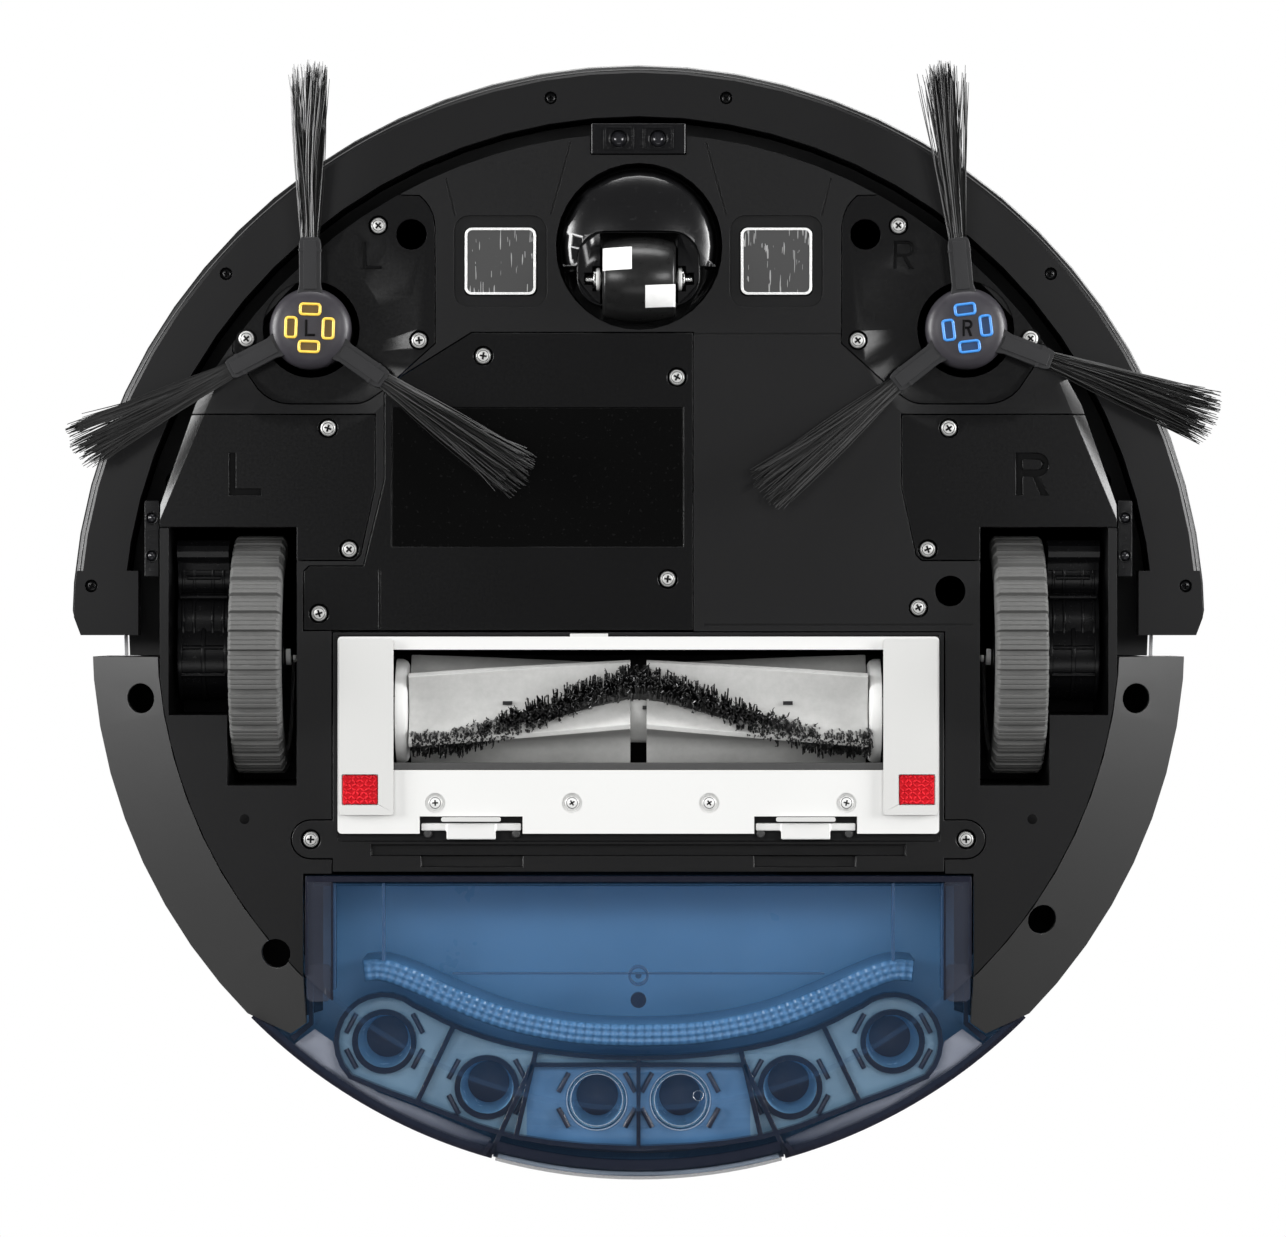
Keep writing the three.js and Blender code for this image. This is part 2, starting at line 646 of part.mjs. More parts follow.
function bumperShell() {
  const lowZ = 13.2;
  const topZ = 72.8;
  const inner = bumperRadius - 3;
  const ring = turned([
    [149.8, lowZ],
    [bumperRadius - 2.6, lowZ],
    [bumperRadius - 0.6, lowZ + 1.4],
    [bumperRadius, lowZ + 3.4],
    [bumperRadius, topZ - 1.4],
    [bumperRadius - 1.4, topZ],
    [154.5, topZ],
    [154.5, topZ - 2],
    [inner, topZ - 2],
    [inner, lowZ + 2.8],
    [149.8, lowZ + 2.8],
    [149.8, lowZ],
  ]);
  const ahead = block(-180, 180, -180, bumperEndY, 0, 90);
  const endBlocks = [LEFT, RIGHT].map((side) => common(
    disc(0, 0, bumperRadius - 0.8, lowZ, lowZ + 8, roundSteps),
    sideBlock(side, 145.3, 170, -17.7, bumperEndY, lowZ, lowZ + 8),
  ));
  const corners = [LEFT, RIGHT].map((side) => prism(
    polygon(mirrored(side, [[164.9, -6.6], [162, bumperEndY + 0.1], [175, bumperEndY + 0.1], [175, -6.6]])), 0, 90,
  ));
  const screws = [[25.5, -155.1], [119.8, -104], [159, -13.3]].flatMap(([x, y]) =>
    [LEFT, RIGHT].map((side) => disc(side * x, y, 1.9, lowZ - 1, lowZ + 2, 12)));
  const windowSeat = prism(ringSector(163.2, 170, -145, -35, 24), 43.7, 58.3);
  const whole = join(common(ring, ahead), ...endBlocks);
  return cut(whole, ...corners, ...screws, windowSeat);
}

function addBumper() {
  addPart('bumper_shell', bumperShell(), satinShell());
  const window = prism(ringSector(163.5, 164.8, -144.85, -35.15, 24), 44, 58);
  addPart('bumper_window', window, glossBlack());
}

// ---------- dust bin ----------

function binOutline() {
  const half = [
    [bin.x, bin.frontY], [bin.x, bin.flareY], [101.9, 118.5], [118, 111.8], [140, 140], [110, 175],
  ];
  return [...half, ...mirrored(-1, half).reverse()];
}

function binTub() {
  const outer = common(
    prism(polygon(binOutline()), 0, 90),
    turned([
      [0, bottomZ + 2.6], [flatRadius + 0.1, bottomZ + 2.6], [flatRadius + 0.1, bottomZ],
      [rearRadius - 0.3, 33], [rearRadius - 0.3, bin.topZ], [0, bin.topZ],
    ]),
  );
  const room = common(
    prism(polygon(grown(binOutline(), -2)), 0, 90),
    turned([
      [0, 5], [flatRadius - 2.1, 5], [flatRadius - 2.1, 12], [rearRadius - 2.5, 34.6],
      [rearRadius - 2.5, bin.topZ - 2.2], [0, bin.topZ - 2.2],
    ]),
  );
  const buttonHouse = block(-45, 45, 145, 157, 36.9, 55.5);
  const outerLimit = turned([[0, 0], [rearRadius - 0.3, 0], [rearRadius - 0.3, 90], [0, 90]]);
  const buttonPocket = block(-42.7, 42.7, 147.2, 180, 38.7, 53.3);
  const suctionMouth = block(-41, 41, bin.frontY - 2, bin.frontY + 4, 29, 45);
  return cut(join(cut(outer, room), common(buttonHouse, outerLimit)), buttonPocket, suctionMouth);
}

function binReleaseButton() {
  return prism(ringSector(157.8, 162.1, 74.8, 105.2, 16), 39, 53);
}

// centre line of the air duct across the bin, and the six ports along it
const portSpots = [[73.5, 118.7], [44, 132.2], [12.3, 136]];
const ductFront = [[0, 123.8], [15, 122.9], [29.9, 120.4], [42, 117.4], [53.8, 113.6], [65, 107.2]];
const ductRear = [[84.1, 129.1], [75, 133.2], [65.1, 137.5], [41.6, 145.8], [21, 149.7], [0, 150.8]];

function ductOutline() {
  const end = arcPoints(14.4, -127, 44, 9, 73.5, 118.7);
  const half = [...ductFront.slice(0, -1), ...end, ...ductRear];
  return [...half, ...mirrored(-1, half.slice(1, -1)).reverse()];
}

const duct = {
  lowZ: 30.3, roofZ: 34.8, roofThickness: 1.5, wall: 1.4, dividerHalf: 0.6,
  portRadius: 9.3, boreRadius: 6.4, dividers: [[53.8, 113.6, 64.8, 137.5], [31, 121, 41.6, 145]],
};

function binDuct() {
  const { lowZ, roofZ, dividerHalf: half } = duct;
  const shell = cut(
    prism(polygon(ductOutline()), lowZ, roofZ + duct.roofThickness),
    prism(polygon(grown(ductOutline(), -duct.wall)), lowZ - 1, roofZ),
  );
  const onBothSides = (shapes, build) => shapes.flatMap((shape) =>
    [LEFT, RIGHT].map((side) => build(side, shape)));
  const dividers = onBothSides(duct.dividers, (side, [x0, y0, x1, y1]) => prism(
    polygon(mirrored(side, [[x0 - half, y0], [x0 + half, y0], [x1 + half, y1], [x1 - half, y1]])),
    lowZ, roofZ + 0.5,
  ));
  const middle = block(-half, half, 124, 150, lowZ, roofZ + 0.5);
  const ports = onBothSides(portSpots, (side, [x, y]) =>
    disc(side * x, y, duct.portRadius, lowZ, roofZ + 1, 14));
  const bores = onBothSides(portSpots, (side, [x, y]) =>
    disc(side * x, y, duct.boreRadius, lowZ - 1, roofZ + 3, 14));
  return cut(join(shell, ...dividers, middle, ...ports), ...bores);
}

function binFilter() {
  const front = [[0, 114.9], [23.4, 112], [38.6, 108.2], [53.8, 101.5], [66, 94.5], [76, 92.2], [82, 92.6]];
  const rear = [[82, 97.4], [75, 97.8], [66, 100], [53.8, 106.8], [38.6, 113.6], [23.4, 117.4], [0, 120.4]];
  const half = [...front, ...rear];
  const outline = [...half, ...mirrored(-1, half.slice(1, -1)).reverse()];
  return prism(polygon(outline), bottomZ + 3, 44);
}

function addBin() {
  addPart('bin_tub', binTub(), binBlue());
  const lid = common(
    block(-88.6, 88.6, 72.7, 180, bottomZ, bottomZ + 2.2),
    disc(0, 0, flatRadius - 0.3, bottomZ - 1, bottomZ + 5, roundSteps),
    prism(polygon(grown(binOutline(), -0.3)), 0, 90),
  );
  addPart('bin_lid', lid, binBlue());
  for (const side of [LEFT, RIGHT]) {
    const rail = common(
      sideBlock(side, 89, bin.x, 71, 107, bottomZ, bottomZ + 2.3),
      disc(0, 0, flatRadius - 0.3, bottomZ - 1, bottomZ + 5, roundSteps),
    );
    addPart(`bin_rail_${sideName(side)}`, rail, smokyPlastic());
  }
  addPart('bin_duct', binDuct(), smokyPlastic());
  addPart('bin_filter', binFilter(), binBlue());
  addPart('bin_release_button', binReleaseButton(), smokyPlastic());
}

// ---------- caster ----------

function casterDome() {
  const { x, y } = casterCentre;
  const cap = [];
  const capSteps = 6;
  const rimRadius = casterSocketRadius - 0.9;
  for (let i = 0; i <= capSteps; i += 1) {
    const angle = (Math.PI / 2) * (i / capSteps);
    cap.push([rimRadius * Math.sin(angle), 14 - 8.5 * Math.cos(angle)]);
  }
  const dome = turned([...cap, [rimRadius, 28], [4, 28], [4, 31], [0, 31]], x, y, 32);
  const keep = join(
    block(-40, 40, -150, -106, 0, 40),
    prism(roundedRectangle(-17.8, 17.8, -118, -94.4, 9), 0, 40, 6),
    disc(x, y, rimRadius, 26, 40, 32),
  );
  const wheelSlot = block(x - 11.3, x + 11.3, casterWheelY - 13.4, -80, 0, 25.7);
  const flatFace = prism(roundedRectangle(-17.8, 17.8, -116, -90, 8), 0, 9.6, 6);
  const bushSlot = block(x - 13.6, x + 13.6, casterWheelY - 3.7, casterWheelY + 3.7, 0, 16.3);
  const pinSlot = block(x - 16, x + 16, casterWheelY - 1.8, casterWheelY + 1.8, 0, 14.4);
  return cut(common(dome, keep), wheelSlot, flatFace, bushSlot, pinSlot);
}

function addCaster() {
  const { x } = casterCentre;
  addPart('caster_dome', casterDome(), glossBlack());
  const axle = join(
    rodAlongX(x - 15.6, x + 15.6, casterWheelY, casterWheelRadius, 1.4, 12),
    rodAlongX(x - 13.2, x - 11, casterWheelY, casterWheelRadius, 3.2, 16),
    rodAlongX(x + 11, x + 13.2, casterWheelY, casterWheelRadius, 3.2, 16),
  );
  addPart('caster_axle', axle, steel());
  const barrel = turnedAlongX([
    [1.75, x - 10.6], [11, x - 10.6], [12.2, x - 6], [casterWheelRadius, x], [12.2, x + 6],
    [11, x + 10.6], [1.75, x + 10.6], [1.75, x - 10.6],
  ], casterWheelY, casterWheelRadius, 28);
  addPart('caster_wheel', barrel, finish(0x202022, 0.35));
}

// ---------- drive wheels ----------

function gearbox(side) {
  const [x0, x1] = side === LEFT ? [-134.8, -119.6] : [119.6, 134.8];
  return join(
    rodAlongX(x0, x1, -17, 33.5, 9, 24),
    rodAlongX(x0, x1, -3, 34, 11, 24),
    rodAlongX(x0, x1, wheelY, wheelRadius, 13.6, 28),
    rodAlongX(x0, x1, armPivot.y + 0.6, armPivot.z + 1, 3.4, 12),
    block(x0, x1, -26, 16, 33, 44),
    block(x0, x1, -26.2, -18, 23.5, 34),
  );
}

function driveHub(side) {
  const inner = wheelX - wheelWidth / 2;
  const outer = wheelX + wheelWidth / 2;
  const profile = [
    [0, inner - 1.6], [2.6, inner - 1.6], [2.6, inner + 1], [9, inner + 1], [11, inner + 3],
    [22, inner + 3], [24, inner + 1], [28, inner + 1], [28, outer - 1], [0, outer - 1],
  ];
  return turnedAlongX(profile.map(([r, x]) => [r, side * x]), wheelY, wheelRadius, 20);
}

function driveTyre(side) {
  const inner = wheelX - wheelWidth / 2;
  const outer = wheelX + wheelWidth / 2;
  const profile = [
    [28.3, inner], [33.6, inner], [wheelRadius, inner + 1.4], [wheelRadius, outer - 0.8], [34.2, outer],
    [28.3, outer], [28.3, inner],
  ];
  return turnedAlongX(profile.map(([r, x]) => [r, side * x]), wheelY, wheelRadius, 32);
}

function addDriveWheels() {
  for (const side of [LEFT, RIGHT]) {
    addPart(`gearbox_${sideName(side)}`, gearbox(side), finish(0x101011, 0.3));
    addPart(`wheel_hub_${sideName(side)}`, driveHub(side), darkRubber());
    addPart(`tyre_${sideName(side)}`, driveTyre(side), greyRubber());
  }
}

// ---------- side brushes ----------

const clipWindow = { length: 6.1, width: 3.2, reach: 5.4 };

// four small upright windows round the hub's middle
function clipShapes(x, turnDeg, grow, z0, z1) {
  return [0, 90, 180, 270].map((angle) => {
    const geometry = new THREE.BoxGeometry(clipWindow.width + grow, clipWindow.length + grow, z1 - z0);
    geometry.translate(clipWindow.reach, 0, (z0 + z1) / 2);
    geometry.rotateZ(THREE.MathUtils.degToRad(angle + turnDeg));
    geometry.translate(x, sideBrush.y, 0);
    return solid(geometry);
  });
}

function sideBrushHub(side, angles, turnDeg) {
  const x = side * sideBrush.x;
  const dome = turned([
    [0, 5.4], [7.5, 5.4], [10.4, 6.4], [sideBrush.hubRadius, 8.6], [sideBrush.hubRadius, 11.2], [9.4, 11.2],
    [9.4, 7.2], [0, 7.2],
  ], x, sideBrush.y, 28);
  const arms = angles.map((angle) => {
    const geometry = new THREE.BoxGeometry(15.6, 6.5, 2.8);
    geometry.translate(18.2, 0, 7.9);
    geometry.rotateZ(THREE.MathUtils.degToRad(angle));
    geometry.translate(x, sideBrush.y, 0);
    return solid(geometry);
  });
  return cut(join(dome, ...arms), ...clipShapes(x, turnDeg, 0.7, 4, 8));
}

function brushInsert(side, turnDeg) {
  const x = side * sideBrush.x;
  const plate = disc(x, sideBrush.y, 9, 7.5, 9.6, 20);
  return join(plate, ...clipShapes(x, turnDeg, 0, 5, 8));
}

// a tuft is a thin fan that slopes down from the arm's end to just above the floor
function addTufts(side, angles) {
  const rootReach = 26.4;
  const length = sideBrush.reach - rootReach;
  const slope = Math.atan2(5.6, length);
  const fan = polygon([[0, -2.8], [length, -6], [length, 6], [0, 2.8]]);
  angles.forEach((angle, i) => {
    const turn = new THREE.Group();
    turn.position.set(side * sideBrush.x, sideBrush.y, 0);
    turn.rotation.z = THREE.MathUtils.degToRad(angle);
    const geometry = new THREE.ExtrudeGeometry(fan, { depth: 1.8, bevelEnabled: false });
    const tuft = addPart(`tuft_${sideName(side)}_${i + 1}`, geometry, blackBristle(), turn);
    tuft.position.set(rootReach, 0, 6.9);
    tuft.rotation.y = slope;
    model.add(turn);
  });
}

function addSideBrushes() {
  const insertColours = { left: finish(0xe1be3c, 0.4), right: finish(0x3c82c8, 0.4) };
  for (const side of [LEFT, RIGHT]) {
    const angles = side === LEFT ? armAnglesLeft : armAnglesRight;
    const turnDeg = side === LEFT ? 2 : -7;
    addPart(`side_brush_hub_${sideName(side)}`, sideBrushHub(side, angles, turnDeg), darkRubber());
    addPart(`side_brush_insert_${sideName(side)}`, brushInsert(side, turnDeg), insertColours[sideName(side)]);
    addTufts(side, angles);
  }
}

// ---------- main brush and its guard ----------

function brushRoller() {
  const { y, z, coreRadius, bladeRadius, halfLength } = roller;
  const core = rodAlongX(-halfLength, halfLength, y, z, coreRadius, 32);
  const journals = rodAlongX(-78, 78, y, z, 4, 24);
  const blades = [45, 135, 225, 315].map((angle) => {
    const geometry = new THREE.BoxGeometry(2 * halfLength, 2.6, bladeRadius);
    geometry.translate(0, 0, -bladeRadius / 2);
    geometry.rotateX(THREE.MathUtils.degToRad(angle));
    geometry.translate(0, y, z);
    return solid(geometry);
  });
  return join(core, journals, ...blades);
}

function rollerBristles() {
  const { y, z, coreRadius } = roller;
  const [inner, outer] = [coreRadius + 0.4, 18.6];
  return block(-66, 66, y - 2.2, y + 2.2, z - outer, z - inner);
}

function brushGuard() {
  const { x, frontY, rearY, lowZ, highZ } = guard;
  const frame = prism(roundedRectangle(-x, x, frontY, rearY, 1.2), lowZ, highZ, 3);
  const endBlocks = [LEFT, RIGHT].map((side) =>
    sideBlock(side, 72.5, 83.5, frontY + 3, 38.5, lowZ - 1, lowZ + 1));
  const opening = block(-inlet.x, inlet.x, inlet.frontY, inlet.rearY, lowZ - 3, highZ + 1);
  const latchNotches = [LEFT, RIGHT].map((side) =>
    sideBlock(side, 33.5, 63.3, 53.4, rearY + 1, lowZ - 1, highZ + 1));
  const padSeats = [LEFT, RIGHT].map((side) => sideBlock(side, 75, 86, 41, 50.3, lowZ - 1, lowZ + 0.9));
  const screwSeats = [-58.8, -19.2, 20.5, 60.2].map((at) => disc(at, 49.5, 2.9, lowZ - 1, lowZ + 0.8, 20));
  return cut(join(frame, ...endBlocks), opening, ...latchNotches, ...padSeats, ...screwSeats);
}

function guardLatch(side) {
  const bar = sideBlock(side, 34, 62.8, 55.4, 57.6, guard.lowZ + 0.6, guard.highZ);
  const tab = sideBlock(side, 41.3, 55.5, 55.4, 60.1, guard.lowZ - 0.2, guard.lowZ + 1.8);
  return join(bar, tab);
}

function addMainBrush() {
  addPart('brush_roller', brushRoller(), paleGuard());
  addPart('roller_bristles', rollerBristles(), blackBristle());
  addPart('brush_guard', brushGuard(), paleGuard());
  for (const side of [LEFT, RIGHT]) {
    const pad = sideBlock(side, 75.3, 85.7, 41.3, 50, guard.lowZ - 0.6, guard.lowZ + 0.6);
    addPart(`guard_pad_${sideName(side)}`, pad, finish(0xd71423, 0.8));
    addPart(`guard_latch_${sideName(side)}`, guardLatch(side), paleGuard());
  }
}

addChassis();
addInnerParts();
addTopButtons();
addBumper();
addBin();
addCaster();
addDriveWheels();
addSideBrushes();
addMainBrush();

export default model;
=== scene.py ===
import math
import random

import bmesh
import bpy
from mathutils import Matrix, Vector
from mathutils.geometry import tessellate_polygon


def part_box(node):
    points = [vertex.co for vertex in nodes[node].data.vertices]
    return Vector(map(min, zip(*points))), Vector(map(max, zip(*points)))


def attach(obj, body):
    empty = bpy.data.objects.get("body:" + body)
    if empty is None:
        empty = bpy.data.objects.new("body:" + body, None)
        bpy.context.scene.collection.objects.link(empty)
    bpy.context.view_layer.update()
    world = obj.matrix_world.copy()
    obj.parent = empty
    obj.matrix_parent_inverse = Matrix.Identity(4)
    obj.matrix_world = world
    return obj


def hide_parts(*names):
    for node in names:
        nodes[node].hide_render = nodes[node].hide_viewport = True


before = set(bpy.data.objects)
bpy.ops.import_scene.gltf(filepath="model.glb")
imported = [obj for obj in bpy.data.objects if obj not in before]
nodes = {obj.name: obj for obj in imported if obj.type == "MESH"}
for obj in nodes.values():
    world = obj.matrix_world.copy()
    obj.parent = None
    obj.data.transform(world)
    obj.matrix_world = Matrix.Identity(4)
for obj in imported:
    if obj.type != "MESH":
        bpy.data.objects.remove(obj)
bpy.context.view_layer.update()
mm = 0.001
sides = {"left": -1, "right": 1}
print("frame loaded:", len(nodes), "nodes")


def corners(node):
    # lowest and highest corners of a CAD node, in millimetres
    low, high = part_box(node)
    return low / mm, high / mm


def middle(node):
    low, high = corners(node)
    return (low + high) / 2


# ---- camera, floor and light ----

cameraSet = {"place": (0.00133, -0.00385, -1.423), "lens": 138.4, "sensor": 36}

lens = bpy.data.cameras.new("belowCamera")
lens.lens = cameraSet["lens"]
lens.sensor_width = cameraSet["sensor"]
lens.clip_start = 0.01
lens.clip_end = 50
viewer = bpy.data.objects.new("belowCamera", lens)
viewer.location = cameraSet["place"]
viewer.rotation_euler = (math.pi, 0, 0)
bpy.context.scene.collection.objects.link(viewer)
bpy.context.scene.camera = viewer
bpy.context.scene.view_settings.view_transform = "Standard"


class Sock:
    # a shader socket that can stand in a sum; each sum adds its Math node
    def __init__(self, tree, socket):
        self.tree = tree
        self.socket = socket

    def worked(self, operation, first, second):
        step = self.tree.nodes.new("ShaderNodeMath")
        step.operation = operation
        for inlet, value in zip(step.inputs, (first, second)):
            if isinstance(value, Sock):
                self.tree.links.new(value.socket, inlet)
            else:
                inlet.default_value = value
        return Sock(self.tree, step.outputs[0])

    def __add__(self, other):
        return self.worked("ADD", self, other)

    def __radd__(self, other):
        return self.worked("ADD", other, self)

    def __sub__(self, other):
        return self.worked("SUBTRACT", self, other)

    def __rsub__(self, other):
        return self.worked("SUBTRACT", other, self)

    def __mul__(self, other):
        return self.worked("MULTIPLY", self, other)

    def __rmul__(self, other):
        return self.worked("MULTIPLY", other, self)

    def __gt__(self, other):
        return self.worked("GREATER_THAN", self, other)

    def __lt__(self, other):
        return self.worked("LESS_THAN", self, other)


class Finish:
    # one material and its nodes
    def __init__(self, name):
        self.material = bpy.data.materials.new(name)
        self.material.use_nodes = True
        self.tree = self.material.node_tree
        self.tree.nodes.clear()
        self.where = self.node("ShaderNodeTexCoord", out="Object")

    def node(self, kind, settings=None, values=None, out=0):
        made = self.tree.nodes.new(kind)
        for name, value in (settings or {}).items():
            setattr(made, name, value)
        for name, value in (values or {}).items():
            if isinstance(value, Sock):
                self.tree.links.new(value.socket, made.inputs[name])
            else:
                made.inputs[name].default_value = value
        return Sock(self.tree, made.outputs[out])

    def noise(self, scale, detail=2, rough=0.5, where=None):
        return self.node("ShaderNodeTexNoise", {}, {
            "Vector": where or self.where, "Scale": scale, "Detail": detail, "Roughness": rough}, "Fac")

    def stretched(self, x, y, z, turn=0):
        return self.node("ShaderNodeMapping", {}, {
            "Vector": self.where, "Scale": (x, y, z), "Rotation": (0, 0, turn)})

    def along(self):
        split = self.node("ShaderNodeSeparateXYZ", {}, {"Vector": self.where}).socket.node
        return [Sock(self.tree, outlet) for outlet in split.outputs]

    def blend(self, factor, first, second):
        return self.node("ShaderNodeMix", {"data_type": "RGBA"}, {0: factor, 6: first, 7: second}, 2)

    def bump(self, height, strength, distance):
        return self.node("ShaderNodeBump", {}, {
            "Height": height, "Strength": strength, "Distance": distance}, "Normal")

    def surface(self, values):
        return self.close(self.node("ShaderNodeBsdfPrincipled", {}, values))

    def close(self, shell):
        end = self.tree.nodes.new("ShaderNodeOutputMaterial")
        self.tree.links.new(shell.socket, end.inputs["Surface"])
        return self.material


def paintFloor():
    # pale floor that is seen from above only, so the underside can be looked at through it
    floor = Finish("paleFloor")
    grain = floor.noise(60, 3)
    tone = floor.blend(grain, (0.80, 0.80, 0.80, 1), (0.84, 0.84, 0.84, 1))
    shell = floor.node("ShaderNodeBsdfPrincipled", {}, {"Base Color": tone, "Roughness": 0.7})
    clear = floor.node("ShaderNodeBsdfTransparent")
    behind = floor.node("ShaderNodeNewGeometry", out="Backfacing")
    return floor.close(floor.node("ShaderNodeMixShader", {}, {0: behind, 1: shell, 2: clear}))


def layFloor(span=6.0, drop=-0.0004):
    mesh = bpy.data.meshes.new("floor")
    half = span / 2
    mesh.from_pydata([(-half, -half, drop), (half, -half, drop), (half, half, drop), (-half, half, drop)],
                     [], [(0, 1, 2, 3)])
    floor = bpy.data.objects.new("floor", mesh)
    bpy.context.scene.collection.objects.link(floor)
    mesh.materials.append(paintFloor())
    # light from below has to pass it
    floor.visible_shadow = False
    floor.visible_diffuse = False
    floor.visible_glossy = False


# place, aim (metres), size across and up (metres), power (watts), whether gloss shows it
lightSet = {
    "leftBox": ((-1.15, -0.25, -0.27), (0, -0.03, 0.02), (0.65, 0.40), 20, True),
    "rightBox": ((1.15, -0.25, -0.27), (0, -0.03, 0.02), (0.65, 0.40), 20, True),
    "leftLow": ((-0.60, -0.22, -1.15), (0, 0, 0.03), (0.22, 0.34), 3.2, True),
    "rightLow": ((0.60, -0.22, -1.15), (0, 0, 0.03), (0.22, 0.34), 3.2, True),
    "rearLow": ((0, 0.62, -1.15), (0, 0.02, 0.03), (0.7, 0.3), 0.8, True),
    "frontLow": ((0, -0.75, -1.0), (0, 0.02, 0.03), (0.7, 0.3), 2.4, False),
    "below": ((0, 0, -1.25), (0, 0, 0), (0.9, 0.9), 6.5, False),
    "frontBox": ((0, -1.3, -0.24), (0, 0, 0.02), (0.9, 0.3), 7, True),
    "overhead": ((0.3, -0.6, 1.5), (0, 0, 0.05), (1.2, 1.2), 16, True),
    "overheadRear": ((-0.5, 1.0, 1.2), (0, 0, 0.05), (1.2, 0.8), 8, True),
}


def hangLights():
    for name, (place, aim, (across, up), power, inGloss) in lightSet.items():
        lamp = bpy.data.lights.new(name, "AREA")
        lamp.shape = "RECTANGLE"
        lamp.size = across
        lamp.size_y = up
        lamp.energy = power
        box = bpy.data.objects.new(name, lamp)
        box.location = place
        box.rotation_euler = (Vector(aim) - Vector(place)).to_track_quat("-Z", "Y").to_euler()
        box.visible_camera = False
        box.visible_glossy = inGloss
        bpy.context.scene.collection.objects.link(box)


def paintSky(seen=1.0, given=0.06):
    # white all round for the eye, softer as a light
    world = bpy.data.worlds.new("studio")
    bpy.context.scene.world = world
    world.use_nodes = True
    tree = world.node_tree
    tree.nodes.clear()
    eye = tree.nodes.new("ShaderNodeLightPath")
    sky = tree.nodes.new("ShaderNodeBackground")
    glow = tree.nodes.new("ShaderNodeBackground")
    both = tree.nodes.new("ShaderNodeMixShader")
    end = tree.nodes.new("ShaderNodeOutputWorld")
    sky.inputs["Strength"].default_value = given
    glow.inputs["Strength"].default_value = seen
    sky.inputs["Color"].default_value = (1, 1, 1, 1)
    glow.inputs["Color"].default_value = (1, 1, 1, 1)
    tree.links.new(eye.outputs["Is Camera Ray"], both.inputs[0])
    tree.links.new(sky.outputs[0], both.inputs[1])
    tree.links.new(glow.outputs[0], both.inputs[2])
    tree.links.new(both.outputs[0], end.inputs["Surface"])


layFloor()
hangLights()
paintSky()
print("camera, floor and lights set")


# ---- shapes ----

class Form:
    # closed shapes gathered into one mesh, given in millimetres
    def __init__(self):
        self.points = []
        self.faces = []

    def add(self, points, faces, place=None):
        start = len(self.points)
        self.points += [place @ Vector(p) if place else Vector(p) for p in points]
        self.faces += [[start + i for i in face] for face in faces]
        return self

    def loft(self, rings, place=None, looped=False):
        # skins rings of equal count; open ends get caps
        count = len(rings[0])
        faces = []
        spans = len(rings) if looped else len(rings) - 1
        for i in range(spans):
            near, far = i * count, ((i + 1) % len(rings)) * count
            faces += [[near + j, near + (j + 1) % count, far + (j + 1) % count,
                       far + j] for j in range(count)]
        if not looped:
            faces.append(list(range(count))[::-1])
            faces.append([(len(rings) - 1) * count + j for j in range(count)])
        return self.add([p for ring in rings for p in ring], faces, place)

    def turned(self, profile, place=None, steps=48, looped=False):
        # profile of (radius, height) about the local Z axis
        angles = [2 * math.pi * j / steps for j in range(steps)]
        rings = [[(r * math.cos(a), r * math.sin(a), h) for a in angles] for r, h in profile]
        return self.loft(rings, place, looped)

    def tube(self, path, radius, sides=6, looped=False, ends=1.0):
        # round section along a path; ends thins both tips
        path = [Vector(p) for p in path]
        count = len(path)
        rings = []
        up = Vector((0.13, 0.21, 1)).normalized()
        for i, at in enumerate(path):
            ahead = path[(i + 1) % count] if looped else path[min(i + 1, count - 1)]
            back = path[i - 1] if looped or i else path[0]
            way = (ahead - back).normalized()
            if abs(way.dot(up)) > 0.95:
                up = way.orthogonal().normalized()
            across = way.cross(up).normalized()
            up = across.cross(way).normalized()
            size = radius * (ends if not looped and i in (0, count - 1) else 1)
            rings.append([at + across * (size * math.cos(t)) + up * (size * math.sin(t))
                          for t in (2 * math.pi * j / sides for j in range(sides))])
        return self.loft(rings, None, looped)

    def prism(self, outline, low, high, holes=(), place=None):
        # flat outline (x, y) raised from low to high, with holes through it
        loops = [list(outline)] + [list(hole) for hole in holes]
        flat = [p for loop in loops for p in loop]
        tops = tessellate_polygon([[Vector((x, y, 0)) for x, y in loop] for loop in loops])
        count = len(flat)
        faces = [list(face)[::-1] for face in tops] + [[i + count for i in face] for face in tops]
        start = 0
        for loop in loops:
            size = len(loop)
            faces += [[start + i, start + (i + 1) % size, start + (i + 1) % size + count, start + i + count]
                      for i in range(size)]
            start += size
        return self.add([(x, y, low) for x, y in flat] + [(x, y, high) for x, y in flat], faces, place)

    def block(self, x0, x1, y0, y1, z0, z1, place=None):
        return self.prism([(x0, y0), (x1, y0), (x1, y1), (x0, y1)], z0, z1, (), place)


def circle(x, y, radius, steps=32, start=0.0, end=360.0):
    whole = abs(end - start) >= 360
    count = steps if whole else steps + 1
    angles = [math.radians(start + (end - start) * i / steps) for i in range(count)]
    return [(x + radius * math.cos(a), y + radius * math.sin(a)) for a in angles]


def roundedBox(x0, x1, y0, y1, r, steps=4):
    points = []
    for cx, cy, start in ((x1 - r, y1 - r, 0), (x0 + r, y1 - r, 90), (x0 + r, y0 + r, 180),
                          (x1 - r, y0 + r, 270)):
        points += circle(cx, cy, r, steps, start, start + 90)
    return points


def spun(x, y, z=0.0, degrees=0.0, axis="Z"):
    return Matrix.Translation((x, y, z)) @ Matrix.Rotation(math.radians(degrees), 4, axis)


def soften(made, width, steps=2, limit=35):
    # small rounded edges that catch the light
    if width:
        round_ = made.modifiers.new("edges", "BEVEL")
        round_.width = width * mm
        round_.segments = steps
        round_.limit_method = "ANGLE"
        round_.angle_limit = math.radians(limit)
        round_.use_clamp_overlap = True
    even = made.modifiers.new("shading", "WEIGHTED_NORMAL")
    even.weight = 90
    even.thresh = 0.3


